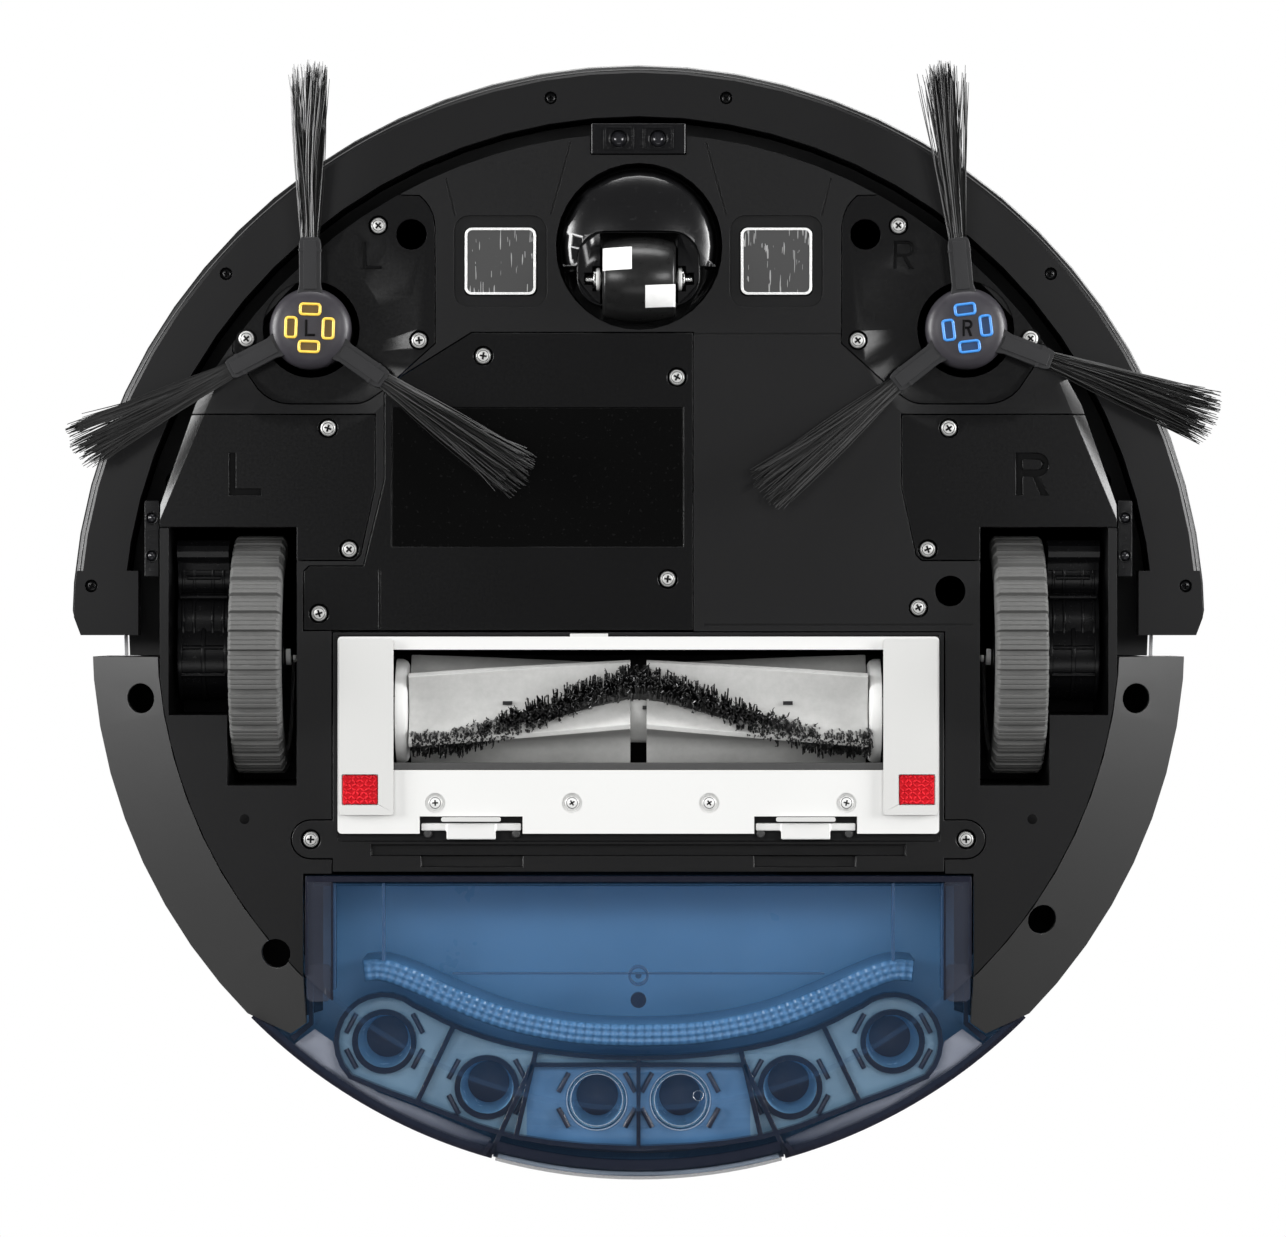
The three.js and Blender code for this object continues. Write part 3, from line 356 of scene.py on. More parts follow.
def piece(name, form, material, body, standsFor=(), edge=0.0, smooth=True, limit=35):
    mesh = bpy.data.meshes.new(name)
    mesh.from_pydata([p * mm for p in form.points], [], form.faces)
    tidy = bmesh.new()
    tidy.from_mesh(mesh)
    bmesh.ops.recalc_face_normals(tidy, faces=tidy.faces)
    for face in tidy.faces:
        face.smooth = smooth
    tidy.to_mesh(mesh)
    tidy.free()
    made = bpy.data.objects.new(name, mesh)
    bpy.context.scene.collection.objects.link(made)
    mesh.materials.append(material)
    if smooth:
        soften(made, edge, 2, limit)
    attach(made, body)
    if standsFor:
        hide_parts(*standsFor)
    return made


# ---- finishes ----

def moulded(name, colour, rough, grain=1100, depth=0.05, speck=0.25, sheen=0.5, spread=0.15):
    # moulded plastic with a spark-eroded grain and slight cloudiness
    skin = Finish(name)
    fine = skin.noise(grain, 3, 0.6)
    cloud = skin.noise(35, 2)
    dark = tuple(c * (1 - speck) for c in colour) + (1,)
    light = tuple(c * (1 + speck) for c in colour) + (1,)
    tone = skin.blend(fine * 0.6 + cloud * 0.4, dark, light)
    return skin.surface({
        "Base Color": tone, "Roughness": rough - spread / 2 + fine * spread,
        "Specular IOR Level": sheen, "Normal": skin.bump(fine, depth, 0.0004)})


def polished(name, colour, rough=0.08, scratch=0.08, sheen=0.5):
    # glossy black plastic with hairline scratches and a trace of dust
    skin = Finish(name)
    hair = skin.noise(240, 2, 0.5, skin.stretched(1, 14, 1, 0.6))
    dust = skin.noise(900, 2) > 0.68
    tone = skin.blend(dust * 0.25, colour + (1,), tuple(min(1, c * 2.2 + 0.01) for c in colour) + (1,))
    return skin.surface({
        "Base Color": tone, "Roughness": rough + hair * scratch + dust * 0.05,
        "Specular IOR Level": sheen, "Normal": skin.bump(hair, 0.04, 0.0002)})


def rubber(name, colour, rough=0.65, grain=700):
    skin = Finish(name)
    fine = skin.noise(grain, 4, 0.65)
    dusty = skin.noise(90, 3)
    tone = skin.blend(fine * 0.5 + dusty * 0.5, tuple(c * 0.75 for c in colour) + (1,),
                      tuple(c * 1.3 for c in colour) + (1,))
    return skin.surface({"Base Color": tone, "Roughness": rough - 0.08 + fine * 0.16,
                         "Specular IOR Level": 0.4, "Normal": skin.bump(fine, 0.12, 0.0003)})


def steel(name, colour=(0.62, 0.62, 0.61), rough=0.24, metal=1.0):
    skin = Finish(name)
    brushed = skin.noise(1500, 3, 0.6, skin.stretched(1, 8, 1))
    tone = skin.blend(brushed, tuple(c * 0.85 for c in colour) + (1,),
                      tuple(min(1, c * 1.1) for c in colour) + (1,))
    return skin.surface({"Base Color": tone, "Metallic": metal, "Roughness": rough - 0.05 + brushed * 0.14,
                         "Normal": skin.bump(brushed, 0.08, 0.0002)})


def scratchedMirror():
    # charging contact: dark mirror with short crossed scratches; the paler rim round it is a separate
    # piece, a painted highlight
    skin = Finish("contactMirror")
    upright = skin.noise(1700, 1, 0.4, skin.stretched(1, 0.07, 1, 0.12))
    leaning = skin.noise(1700, 1, 0.4, skin.stretched(1, 0.07, 1, -0.3))
    scratch = (upright > 0.66) + (leaning > 0.69)
    patch = skin.noise(150, 2) > 0.46
    marks = scratch * patch
    tone = skin.blend(marks, (0.10, 0.10, 0.10, 1), (0.34, 0.34, 0.34, 1))
    return skin.surface({"Base Color": tone, "Metallic": 0.5, "Roughness": 0.16 + marks * 0.3,
                         "Normal": skin.bump(marks, 0.15, 0.0001)})


def tinted(name, colour, alpha, rough=0.12, haze=60, spread=0.35, edge=0.0):
    # see-through plastic, with a moulding haze and faint scuffs
    skin = Finish(name)
    cloud = skin.noise(haze, 2)
    scuff = skin.noise(420, 2, 0.5, skin.stretched(1, 0.08, 1)) > 0.72
    tone = skin.blend(cloud, tuple(c * (1 - spread) for c in colour) + (1,),
                      tuple(min(1, c * (1 + spread)) for c in colour) + (1,))
    worn = skin.blend(scuff * 0.22, tone, (0.5, 0.55, 0.62, 1))
    rim = skin.node("ShaderNodeLayerWeight", {}, {"Blend": 0.35}, "Facing")
    return skin.surface({"Base Color": worn, "Roughness": rough + cloud * 0.06, "Specular IOR Level": 0.6,
                         "Alpha": alpha + rim * edge, "Normal": skin.bump(cloud, 0.03, 0.0006)})


def bristle(name, root, tip):
    # each hair has its own tone, so that strands part from each other
    skin = Finish(name)
    strand = skin.node("ShaderNodeNewGeometry", out="Random Per Island")
    speck = skin.noise(900, 1)
    tone = skin.blend(strand * 0.8 + speck * 0.2, root + (1,), tip + (1,))
    return skin.surface({"Base Color": tone, "Roughness": 0.30 + strand * 0.25, "Specular IOR Level": 0.6})


blackShell = moulded("blackShell", (0.0060, 0.0060, 0.0063), 0.34, depth=0.02, sheen=0.32)
coverShell = moulded("coverShell", (0.0036, 0.0036, 0.0038), 0.24, grain=1400, depth=0.012, speck=0.4,
                     sheen=0.34)
satinSkirt = moulded("satinSkirt", (0.030, 0.030, 0.030), 0.42, grain=1800, depth=0.03, speck=0.1,
                     sheen=0.5)
bumperSkin = moulded("bumperSkin", (0.0055, 0.0055, 0.0058), 0.38, grain=1500, depth=0.012, speck=0.15,
                     sheen=0.24)
glossShell = polished("glossShell", (0.006, 0.006, 0.0065))
labelFilm = polished("labelFilm", (0.0022, 0.0022, 0.0022), 0.05, 0.04, 0.15)
gearShell = polished("gearShell", (0.003, 0.003, 0.0034), 0.2, 0.10, 0.4)
domeGloss = polished("domeGloss", (0.006, 0.006, 0.0064), 0.19, 0.05)
# near black; it paints the shade in screw crosses, grooves, wells and sunk cover letters, and also colours
# the hub letters and the shell dimples
pitBlack = moulded("pitBlack", (0.0012, 0.0012, 0.0013), 0.6, grain=900, depth=0.02, sheen=0.1)
paleGuard = moulded("paleGuard", (0.61, 0.61, 0.60), 0.42, grain=1600, depth=0.03, speck=0.02, sheen=0.35)
silverSteel = steel("silverSteel")
motorSteel = steel("motorSteel", (0.45, 0.45, 0.46), 0.35)
contactMirror = scratchedMirror()
tyreRubber = rubber("tyreRubber", (0.088, 0.088, 0.086))
hubRubber = rubber("hubRubber", (0.030, 0.028, 0.033), 0.38)
armRubber = rubber("armRubber", (0.012, 0.012, 0.013), 0.48)
rollerRubber = rubber("rollerRubber", (0.44, 0.44, 0.43), 0.5, 500)
innerPlastic = moulded("innerPlastic", (0.010, 0.010, 0.011), 0.4, grain=900)
boardGreen = moulded("boardGreen", (0.02, 0.11, 0.04), 0.4, grain=400, speck=0.5)
wrapBlue = moulded("wrapBlue", (0.03, 0.07, 0.18), 0.3, grain=300)
binBlue = tinted("binBlue", (0.060, 0.12, 0.23), 0.07)
binLidBlue = tinted("binLidBlue", (0.06, 0.15, 0.31), 0.045)
smokyClear = tinted("smokyClear", (0.045, 0.050, 0.070), 0.42)
smokyWall = tinted("smokyWall", (0.016, 0.017, 0.026), 0.82, haze=90)
trimPlastic = moulded("trimPlastic", (0.50, 0.50, 0.49), 0.42, grain=1600, depth=0.03, speck=0.02,
                      sheen=0.35)

nodeLooks = {
    "base_shell": blackShell, "rear_shell": satinSkirt, "upper_frame": blackShell, "top_cover": glossShell,
    "side_brush_cover": coverShell, "wheel_cover": coverShell, "charge_contact": contactMirror,
    "side_cliff_sensor": gearShell, "battery_cover": coverShell, "battery_label": labelFilm,
    "battery_pack": wrapBlue, "brush_housing": blackShell, "front_cliff_sensor": glossShell,
    "main_board": boardGreen, "brush_motor": motorSteel, "suction_fan": innerPlastic,
    "side_brush_motor": motorSteel, "power_button": bumperSkin, "home_button": bumperSkin,
    "bumper_shell": bumperSkin, "bumper_window": glossShell, "bin_tub": binBlue, "bin_lid": binLidBlue,
    "bin_rail": smokyClear, "bin_release_button": smokyClear, "caster_dome": domeGloss,
    "caster_axle": silverSteel, "gearbox": gearShell, "wheel_hub": innerPlastic, "brush_guard": paleGuard,
    "guard_latch": paleGuard,
}
edgeWidths = {"top_cover": 0.6, "brush_guard": 0.45, "guard_latch": 0.4, "caster_dome": 0.35,
              "bumper_shell": 0.3,
              "charge_contact": 0.35, "gearbox": 0.6, "battery_cover": 0.12, "battery_label": 0.1,
              "wheel_hub": 0.6, "bin_tub": 0.4, "rear_shell": 0.3}


def dressNode(name, made):
    # a CAD node keeps its shape; rounded edges and a finish go over it
    key = next((k for k in sorted(nodeLooks, key=len, reverse=True) if name.startswith(k)), None)
    if key is None:
        return
    made.data.materials.clear()
    made.data.materials.append(nodeLooks[key])
    for face in made.data.polygons:
        face.use_smooth = True
    weld = made.modifiers.new("weld", "WELD")
    weld.merge_threshold = 0.00001
    flat = made.modifiers.new("flat", "DECIMATE")
    flat.decimate_type = "DISSOLVE"
    flat.angle_limit = math.radians(0.6)
    soften(made, edgeWidths.get(key, 0.22), 2, 25)


for nodeName, nodeObject in nodes.items():
    dressNode(nodeName, nodeObject)
print("shells dressed")


# ---- screws ----

screwSet = {"height": 1.3, "crossHalf": 0.27, "crossReach": 1.05, "faceZ": 10.15, "wellRadius": 2.9}
shellScrewSpots = [(-75.4, -117.8), (-113.7, -85), (-63.6, -84.5), (75.4, -117.8), (113.7, -85),
                   (63.6, -84.5),
                   (-90, -59), (-83.9, -23.9), (90, -59), (83.9, -23.9), (-45, -80), (11.2,
                                                                                      -73.8), (8.5, -15.3),
                   (-92.6, -5.3), (81.2, -7), (-95, 60.2), (95, 60.2)]
guardScrewSpots = [(-58.8, 49.5), (-19.2, 49.5), (20.5, 49.5), (60.2, 49.5)]
bumperScrewSpots = [(side * x, y) for x,
                    y in ((25.5, -155.1), (119.8, -104), (159, -13.3)) for side in (-1, 1)]


def crossOutline(half, reach):
    return [(half, half), (half, reach), (-half, reach), (-half, half), (-reach, half), (-reach, -half),
            (-half, -half), (-half, -reach), (half, -reach), (half, -half), (reach, -half), (reach, half)]


def addScrew(heads, marks, x, y, faceZ, radius, turn, scale=1.0, well=0.0):
    # a low domed head facing down, with a dark cross and a dark well round it; the cross, the ring and the
    # well are painted shade where the recesses would lie in shade
    place = spun(x, y, 0, turn)
    heads.turned([(0.02, faceZ), (radius * 0.5, faceZ + 0.04), (radius * 0.82, faceZ + 0.16),
                  (radius * 0.97, faceZ + 0.42), (radius, faceZ + 0.7), (radius,
                                                                         faceZ + screwSet["height"]),
                  (0.02, faceZ + screwSet["height"])], place, 28)
    # painted shade: a black cross just proud of the head, for the shade in the cross recess
    marks.prism(crossOutline(screwSet["crossHalf"] * scale, screwSet["crossReach"] * scale),
                faceZ - 0.03, faceZ + 0.5, (), place)
    # painted shade: a black ring, for the shade in a groove round the cross
    groove = radius * 0.68
    marks.turned([(groove, faceZ + 0.06), (groove + 0.16, faceZ + 0.06), (groove + 0.16, faceZ + 0.5),
                  (groove, faceZ + 0.5)], place, 28, True)
    # painted shade: a black ring in the sunk well round the head
    if well:
        marks.turned([(radius, well), (screwSet["wellRadius"], well), (screwSet["wellRadius"], well + 0.1),
                      (radius, well + 0.1)], place, 32, True)


def driveScrews():
    chance = random.Random(11)
    guardFace = corners("brush_guard")[0].z + 1.05
    bumperFace = corners("bumper_shell")[0].z + 0.9
    sets = [("shell", shellScrewSpots, screwSet["faceZ"], 2.25, 1.0, 11.65, screwSteel, "chassis"),
            ("guard", guardScrewSpots, guardFace, 2.2, 0.8, 0, guardScrewSteel, "guard"),
            ("bumper", bumperScrewSpots, bumperFace, 1.75, 0.8, 0, gearShell, "bumper")]
    for name, spots, face, radius, scale, well, finish, body in sets:
        heads, marks = Form(), Form()
        for x, y in spots:
            addScrew(heads, marks, x, y, face, radius, chance.uniform(0, 90), scale, well)
        piece(name + "Screws", heads, finish, body, edge=0.0)
        # the marks are painted shade in near black: crosses, grooves and wells
        piece(name + "ScrewPaintedShade", marks, pitBlack, body, edge=0.0)


screwSteel = steel("screwSteel", (0.58, 0.58, 0.57), 0.3, 0.45)
guardScrewSteel = steel("guardScrewSteel", (0.80, 0.80, 0.79), 0.35, 0.4)
driveScrews()
print("screws driven")


# ---- drive wheels ----

tyreSet = {"radius": 35.0, "bore": 28.3, "ribs": 38, "grooveDepth": 1.3, "fineDepth": 0.3, "shoulder": 1.3}
# how far the tread lies under its full radius, along one rib's pitch
ribShape = [(0.0, 1.0), (0.06, 0.0), (0.22, 0.0), (0.26, "fine"), (0.30, 0.0), (0.46, 0.0), (0.50, "fine"),
            (0.54, 0.0), (0.72, 0.0), (0.78, 1.0)]


axleSteel = steel("axleSteel", (0.9, 0.9, 0.89), 0.3, 0.15)


def addTyre(sideName):
    side = sides[sideName]
    low, high = corners("tyre_" + sideName)
    hub = middle("tyre_" + sideName)
    inner, outer = (high.x, low.x) if side < 0 else (low.x, high.x)
    way = 1 if outer > inner else -1
    rings = []
    for rib in range(tyreSet["ribs"]):
        for at, fall in ribShape:
            drop = tyreSet["fineDepth"] if fall == "fine" else fall * tyreSet["grooveDepth"]
            top = tyreSet["radius"] - drop
            angle = 2 * math.pi * (rib + at) / tyreSet["ribs"]
            shoulder = tyreSet["shoulder"]
            section = [(inner, tyreSet["bore"]), (inner, top - 1.9 + 0.3 * (drop > 1)),
                       (inner + way * 0.5, top - 0.9),
                       (inner + way * shoulder, top), (inner + way * 7.6,
                                                       top + 0.05), (outer - way * 1.0, top),
                       (outer - way * 0.2, top - 0.6), (outer, top - 1.4), (outer, tyreSet["bore"])]
            rings.append([(x, hub.y + r * math.sin(angle), hub.z - r * math.cos(angle)) for x,
                          r in section])
    tyre = Form().loft(rings, looped=True)
    piece("treadedTyre_" + sideName, tyre, tyreRubber, sideName + "_wheel",
          ["tyre_" + sideName], edge=0.12, limit=50)
    # bright screw on the wheel's inner face
    tip = Form()
    place = Matrix.Translation((inner - way * 0.6, hub.y,
                                hub.z)) @ Matrix.Rotation(math.radians(90 * way), 4, "Y")
    tip.turned([(0.3, -2.2), (1.6, -2.1), (2.3, -1.5), (2.3, -0.4), (3.2, -0.2), (3.2, 1.2),
                (0.3, 1.2)], place, 20)
    piece("axleScrew_" + sideName, tip, axleSteel, sideName + "_wheel", edge=0.15)


for sideName in sides:
    addTyre(sideName)


# ribs and screw bosses on the drive gearboxes
gearRibSet = {"motor": [(-17, 33.5, 9.45), (-3, 34, 11.5)], "drum": (6.7, 35, 14.1),
              "spots": (121.5, 124.6, 130.0, 133.2)}


def addGearRibs(sideName):
    side = sides[sideName]
    ribs = Form()
    turnX = Matrix.Rotation(math.radians(90), 4, "Y")
    for y, z, radius in gearRibSet["motor"]:
        for x in gearRibSet["spots"]:
            place = Matrix.Translation((side * x, y, z)) @ turnX
            ribs.turned([(radius - 0.9, -0.5), (radius, -0.4), (radius, 0.4), (radius - 0.9, 0.5)],
                        place, 40, True)
    y, z, radius = gearRibSet["drum"]
    for x in (120.6, 127.2, 134.0):
        place = Matrix.Translation((side * x, y, z)) @ turnX
        ribs.turned([(radius - 1, -0.7), (radius, -0.6), (radius, 0.6), (radius - 1, 0.7)], place, 48, True)
    for y, z, radius, half in ((-22.6, 23.2, 1.1, 6.6), (-10.2, 24.4, 0.8, 7.0), (4.6, 21.6, 0.7, 6.0),
                               (12.6, 22.4, 0.7, 6.4), (-15.8, 24.6, 0.7, 5.0)):
        ribs.tube([(side * 127.2 - half, y, z), (side * 127.2 + half, y, z)], radius, 10)
    piece("gearRibs_" + sideName, ribs, gearShell, sideName + "_suspension", edge=0.15)


for sideName in sides:
    addGearRibs(sideName)
print("wheels and gearboxes done")


# ---- caster ----

def casterPaint():
    # glossy black barrel with two white quarter patches
    skin = Finish("casterPaint")
    x, y, z = skin.along()
    lean = y + x * 0.05
    first = (x > -0.0103) * (x < -0.0019) * (lean > -0.1113) * (lean < -0.1046)
    second = (x > 0.0020) * (x < 0.0107) * (lean > -0.0997) * (lean < -0.0934)
    white = (first + second) * (z < 0.0125)
    grime = skin.noise(500, 3)
    pale = skin.blend(grime, (0.75, 0.75, 0.74, 1), (0.88, 0.88, 0.87, 1))
    black = skin.blend(grime, (0.006, 0.006, 0.006, 1), (0.011, 0.011, 0.011, 1))
    return skin.surface({"Base Color": skin.blend(white, black, pale),
                         "Roughness": 0.24 + grime * 0.1 + white * 0.2,
                         "Normal": skin.bump(grime, 0.03, 0.0002)})


def addCasterWheel():
    low, high = corners("caster_wheel")
    hub = (low + high) / 2
    half = (high.x - low.x) / 2
    profile = [(1.7, -half), (9.6, -half), (10.7, -half + 0.5)]
    profile += [(12.5 - 1.5 * abs(t) ** 2.2, t * (half - 0.9)) for t in (i / 7 for i in range(-7, 8))]
    profile += [(10.7, half - 0.5), (9.6, half), (1.7, half)]
    place = Matrix.Translation(hub) @ Matrix.Rotation(math.radians(90), 4, "Y")
    barrel = Form().turned(profile, place, 64, True)
    piece("casterBarrel", barrel, casterPaint(), "caster_wheel", ["caster_wheel"], edge=0.1)
    bushes = Form()
    for way in (-1, 1):
        spot = Matrix.Translation((hub.x + way * 11.9, hub.y,
                                   hub.z)) @ Matrix.Rotation(math.radians(90), 4, "Y")
        bushes.turned([(1.5, -0.65), (3.0, -0.65), (3.4, -0.4), (3.4, 0.4), (3.0, 0.65), (1.5, 0.65)],
                      spot, 28, True)
    piece("casterBushes", bushes, paleGuard, "caster_swivel", edge=0.12)
    # bright edge round the flat of the dome
    flat = roundedBox(-17.6, 17.6, -115.8, -94.6, 8.0, 8)
    lip = Form().tube([(x, y, 9.55) for x, y in flat], 0.22, 6, True)
    piece("casterLip", lip, gearShell, "caster_swivel")


addCasterWheel()
print("caster done")


# ---- side brushes ----

# letter, corner x and y, width, height, stroke
coverLetters = [("L", -80, -113, 5.6, 7.8, 1.0), ("R", 74, -113.4, 6, 8.2, 1.0),
                ("L", -118.7, -51.9, 9.3, 12.4, 2.0), ("R", 109.4, -51.9, 9.6, 12.4, 2.0)]
# the darker clip colour of each side is painted shade for the insides of the clip loops
brushSet = {
    "left": {"angles": (-90, 35, 152.6), "turn": 2, "clip": (0.80, 0.53, 0.07),
             "clipShade": (0.10, 0.060, 0.010)},
    "right": {"angles": (-95.5, 21, 142), "turn": -7, "clip": (0.04, 0.22, 0.60),
              "clipShade": (0.008, 0.035, 0.10)},
    "hairs": 200, "hairRadius": 0.18, "hairSteps": 6, "locks": 15, "armEnd": 24.6, "tipReach": 76.5,
    "tipSpread": {-90: 5.2, -95.5: 6.0, 35: 7.6, 152.6: 7.2, 21: 7.0, 142: 7.2},
}


def letterForm(form, letter, x, y, width, height, stroke, low, high):
    # a plain upright L or R that reads from below; x, y is its upper left corner as seen from there
    form.block(x, x + stroke, y, y + height, low, high)
    if letter == "L":
        form.block(x + stroke, x + width, y + height - stroke, y + height, low, high)
        return
    bowl = height * 0.28
    middleX = x + width - bowl
    outer = circle(middleX, y + bowl, bowl, 14, -90, 90)
    inner = circle(middleX, y + bowl, bowl - stroke, 14, 90, -90)
    form.prism([(x + stroke, y)] + outer + [(x + stroke, y + 2 * bowl), (x + stroke, y + 2 * bowl - stroke)]
               + inner + [(x + stroke, y + stroke)], low, high)
    knee = y + 2 * bowl - 0.05
    form.prism([(x + 0.42 * width, knee), (x + 0.42 * width + 1.2 * stroke, knee),
                (x + width, y + height), (x + width - 1.2 * stroke, y + height)], low, high)


def addCoverLetterShade():
    # painted shade: dark floors in the letters sunk into the covers, for the shade in those shallow
    # recesses
    letterShade = Form()
    for letter, x, y, width, height, stroke in coverLetters:
        letterForm(letterShade, letter, x + 0.08, y + 0.08, width - 0.16, height - 0.16, stroke - 0.16, 10.30,
                   10.47)
    piece("coverLetters", letterShade, pitBlack, "chassis", edge=0.0)


def addSideBrush(sideName):
    values = brushSet[sideName]
    body = sideName + "_side_brush"
    hub = middle("side_brush_insert_" + sideName)
    x, y = hub.x, hub.y
    low = corners("side_brush_hub_" + sideName)[0].z
    dome = Form().turned([(0.02, low), (6.0, low - 0.05), (8.6, low + 0.25), (10.4, low + 1.0),
                          (11.4, low + 2.1),
                          (11.8, low + 3.4), (11.8, 11.2), (9.4, 11.2), (9.4, 7.4), (0.02, 7.4)],
                         spun(x, y), 64)
    piece("brushDome_" + sideName, dome, hubRubber, body,
          ["side_brush_hub_" + sideName], edge=0.1)
    arms = Form()
    for angle in values["angles"]:
        place = spun(x, y, 0, angle)
        arms.prism([(10.2, -3.7), (12.6, -3.1), (24.2, -3.2), (25.6, -2.9), (26.4, -2.4), (26.4, 2.4),
                    (25.6, 2.9),
                    (24.2, 3.2), (12.6, 3.1), (10.2, 3.7)], 6.7, 9.3, (), place)
        arms.block(11.2, 25.4, -1.9, 1.9, 6.35, 6.75, place)
        arms.block(22.2, 23.0, -3.35, 3.35, 6.45, 9.3, place)
    piece("brushArms_" + sideName, arms, armRubber, body, edge=0.35)
    # painted shade: seats in a darkened copy of the clip colour fill the clip loops, whose insides lie in
    # shade
    clips, shadeSeats = Form(), Form()
    shadeSeats.turned([(0.02, 7.5), (9.0, 7.5), (9.0, 9.6), (0.02, 9.6)], spun(x, y), 40)
    for quarter in range(4):
        place = spun(x, y, 0, values["turn"] + 90 * quarter)
        loop = [place @ Vector((px, py, 5.05)) for px, py in roundedBox(3.9, 6.9, -2.85, 2.85, 0.8, 4)]
        clips.tube(loop, 0.42, 8, True)
        shadeSeats.prism(roundedBox(4.1, 6.7, -2.65, 2.65, 0.7, 3), 5.2, 7.6, (), place)
    clipFinish = moulded("clip_" + sideName, values["clip"], 0.35, grain=900, depth=0.02, speck=0.08)
    seatShadeFinish = moulded("clipSeatShade_" + sideName, values["clipShade"], 0.45, grain=900, depth=0.02,
                         speck=0.15)
    piece("brushClips_" + sideName, clips, clipFinish, body, ["side_brush_insert_" + sideName])
    piece("brushClipSeatShade_" + sideName, shadeSeats, seatShadeFinish, body, edge=0.1)
    mark = Form()
    letterForm(mark, sideName[0].upper(), x - 1.35, y - 2.4, 2.9, 4.8, 0.72, low - 0.16, low + 0.2)
    piece("brushLetter_" + sideName, mark, pitBlack, body, edge=0.0)


def addTuft(sideName, index, angle, chance):
    # hairs fan out from the arm's end and sink towards the floor, in small locks
    hub = middle("side_brush_insert_" + sideName)
    place = spun(hub.x, hub.y, 0, angle)
    spread = brushSet["tipSpread"][angle]
    locks = [chance.uniform(-1, 1) for _ in range(brushSet["locks"])]
    tuft = Form()
    for _ in range(brushSet["hairs"]):
        lock = chance.choice(locks)
        start = max(-1, min(1, lock * 0.7 + chance.uniform(-0.35, 0.35))) * 2.5
        end = lock * spread + chance.gauss(0, spread * 0.13)
        reach = brushSet["tipReach"] + chance.uniform(-5.5, 1.2) - 2.0 * abs(lock)
        lift, sink = 8.0 + chance.uniform(-1.0, 0.9), 3.1 + chance.uniform(-1.3, 1.5)
        bow = chance.uniform(-1.1, 1.1)
        path = []
        for step in range(brushSet["hairSteps"] + 1):
            t = step / brushSet["hairSteps"]
            r = brushSet["armEnd"] + (reach - brushSet["armEnd"]) * t
            across = start + (end - start) * t ** 1.25 + bow * math.sin(math.pi * t)
            path.append(place @ Vector((r, across, lift + (sink - lift) * t + 0.4 * bow * math.sin(3 * t))))
        tuft.tube(path, brushSet["hairRadius"] * chance.uniform(0.75, 1.2), 3, False, 0.6)
    piece(f"bristles_{sideName}_{index}", tuft, tuftHair, sideName + "_side_brush",
          [f"tuft_{sideName}_{index}"], smooth=False)


tuftHair = bristle("tuftHair", (0.0005, 0.0005, 0.0005), (0.020, 0.020, 0.020))
tuftChance = random.Random(5)
addCoverLetterShade()
for sideName in sides:
    addSideBrush(sideName)
    for index, angle in enumerate(brushSet[sideName]["angles"], 1):
        addTuft(sideName, index, angle, tuftChance)
print("side brushes done")


# ---- main brush ----

rollerSet = {"halfLength": 66.6, "tip": 17.3, "valley": 10.4, "gapHalf": 2.35, "petals": 5,
             "tipAngle": -58.0, "petalTwist": 0.31, "rowAngle": -38.0, "rowTwist": 1.33, "clumpPitch": 4.05,
             "rowFlatX": 54, "strands": 84, "strandRadius": 0.27, "frizzRadius": 0.13, "strayRadius": 0.09}


def rollerSection(x, tipAngle, hub):
    # a five-petalled star with hollow flanks
    points = []
    petals = rollerSet["petals"]
    pitch = 360 / petals
    flank = ((-0.035, 1.0), (0.035, 1.0), (0.14, 0.53), (0.28, 0.22), (0.5, 0.0), (0.72, 0.24),
             (0.86, 0.55))
    for petal in range(petals):
        for part, height in flank:
            angle = math.radians(tipAngle + pitch * (petal + part))
            r = rollerSet["valley"] + (rollerSet["tip"] - rollerSet["valley"]) * height
            points.append((x, hub.y + r * math.sin(angle), hub.z - r * math.cos(angle)))
    return points


def addRoller():
    hub = middle("brush_roller")
    roller = Form()
    half, gap = rollerSet["halfLength"], rollerSet["gapHalf"]
    for side in (-1, 1):
        rings = []
        for step in range(13):
            x = gap + (half - gap) * step / 12
            rings.append(rollerSection(side * x,
                                       rollerSet["tipAngle"] + rollerSet["petalTwist"] * (x - gap), hub))
        roller.loft(rings)
    place = Matrix.Translation(hub) @ Matrix.Rotation(math.radians(90), 4, "Y")
    roller.turned([(0.4, -78), (4, -78), (4, -70.5), (9.2, -70.5), (9.2, 70.5), (4, 70.5), (4, 78),
                   (0.4, 78)], place, 40)
    piece("petalRoller", roller, rollerRubber, "main_brush", ["brush_roller"], edge=0.25,
          limit=50)
    ends = Form()
    for way in (-1, 1):
        cap = [(0.4, 66.9), (13.6, 66.9), (14.6, 67.4), (15.2, 68.6), (15.3, 70.6), (0.4, 70.6)]
        ends.turned([(r, way * x) for r, x in cap], place, 48, True)
    piece("rollerEnds", ends, paleGuard, "main_brush", edge=0.2)
    # painted shade: small dark blocks where slots on the roller's flanks lie in shade
    slotShade = Form()
    for x, y in ((-38.0, 20.7), (43.4, 20.7), (2.6, 22.0), (-15.2, 28.9), (20.4, 28.9)):
        drop = math.sqrt(max(0.0, 10.9 ** 2 - (y - hub.y) ** 2))
        slotShade.block(x - 1.4, x + 1.4, y - 0.55, y + 0.55, hub.z - drop - 0.25, hub.z - drop + 2.2)
    piece("rollerSlotShade", slotShade, innerPlastic, "main_brush", edge=0.08)


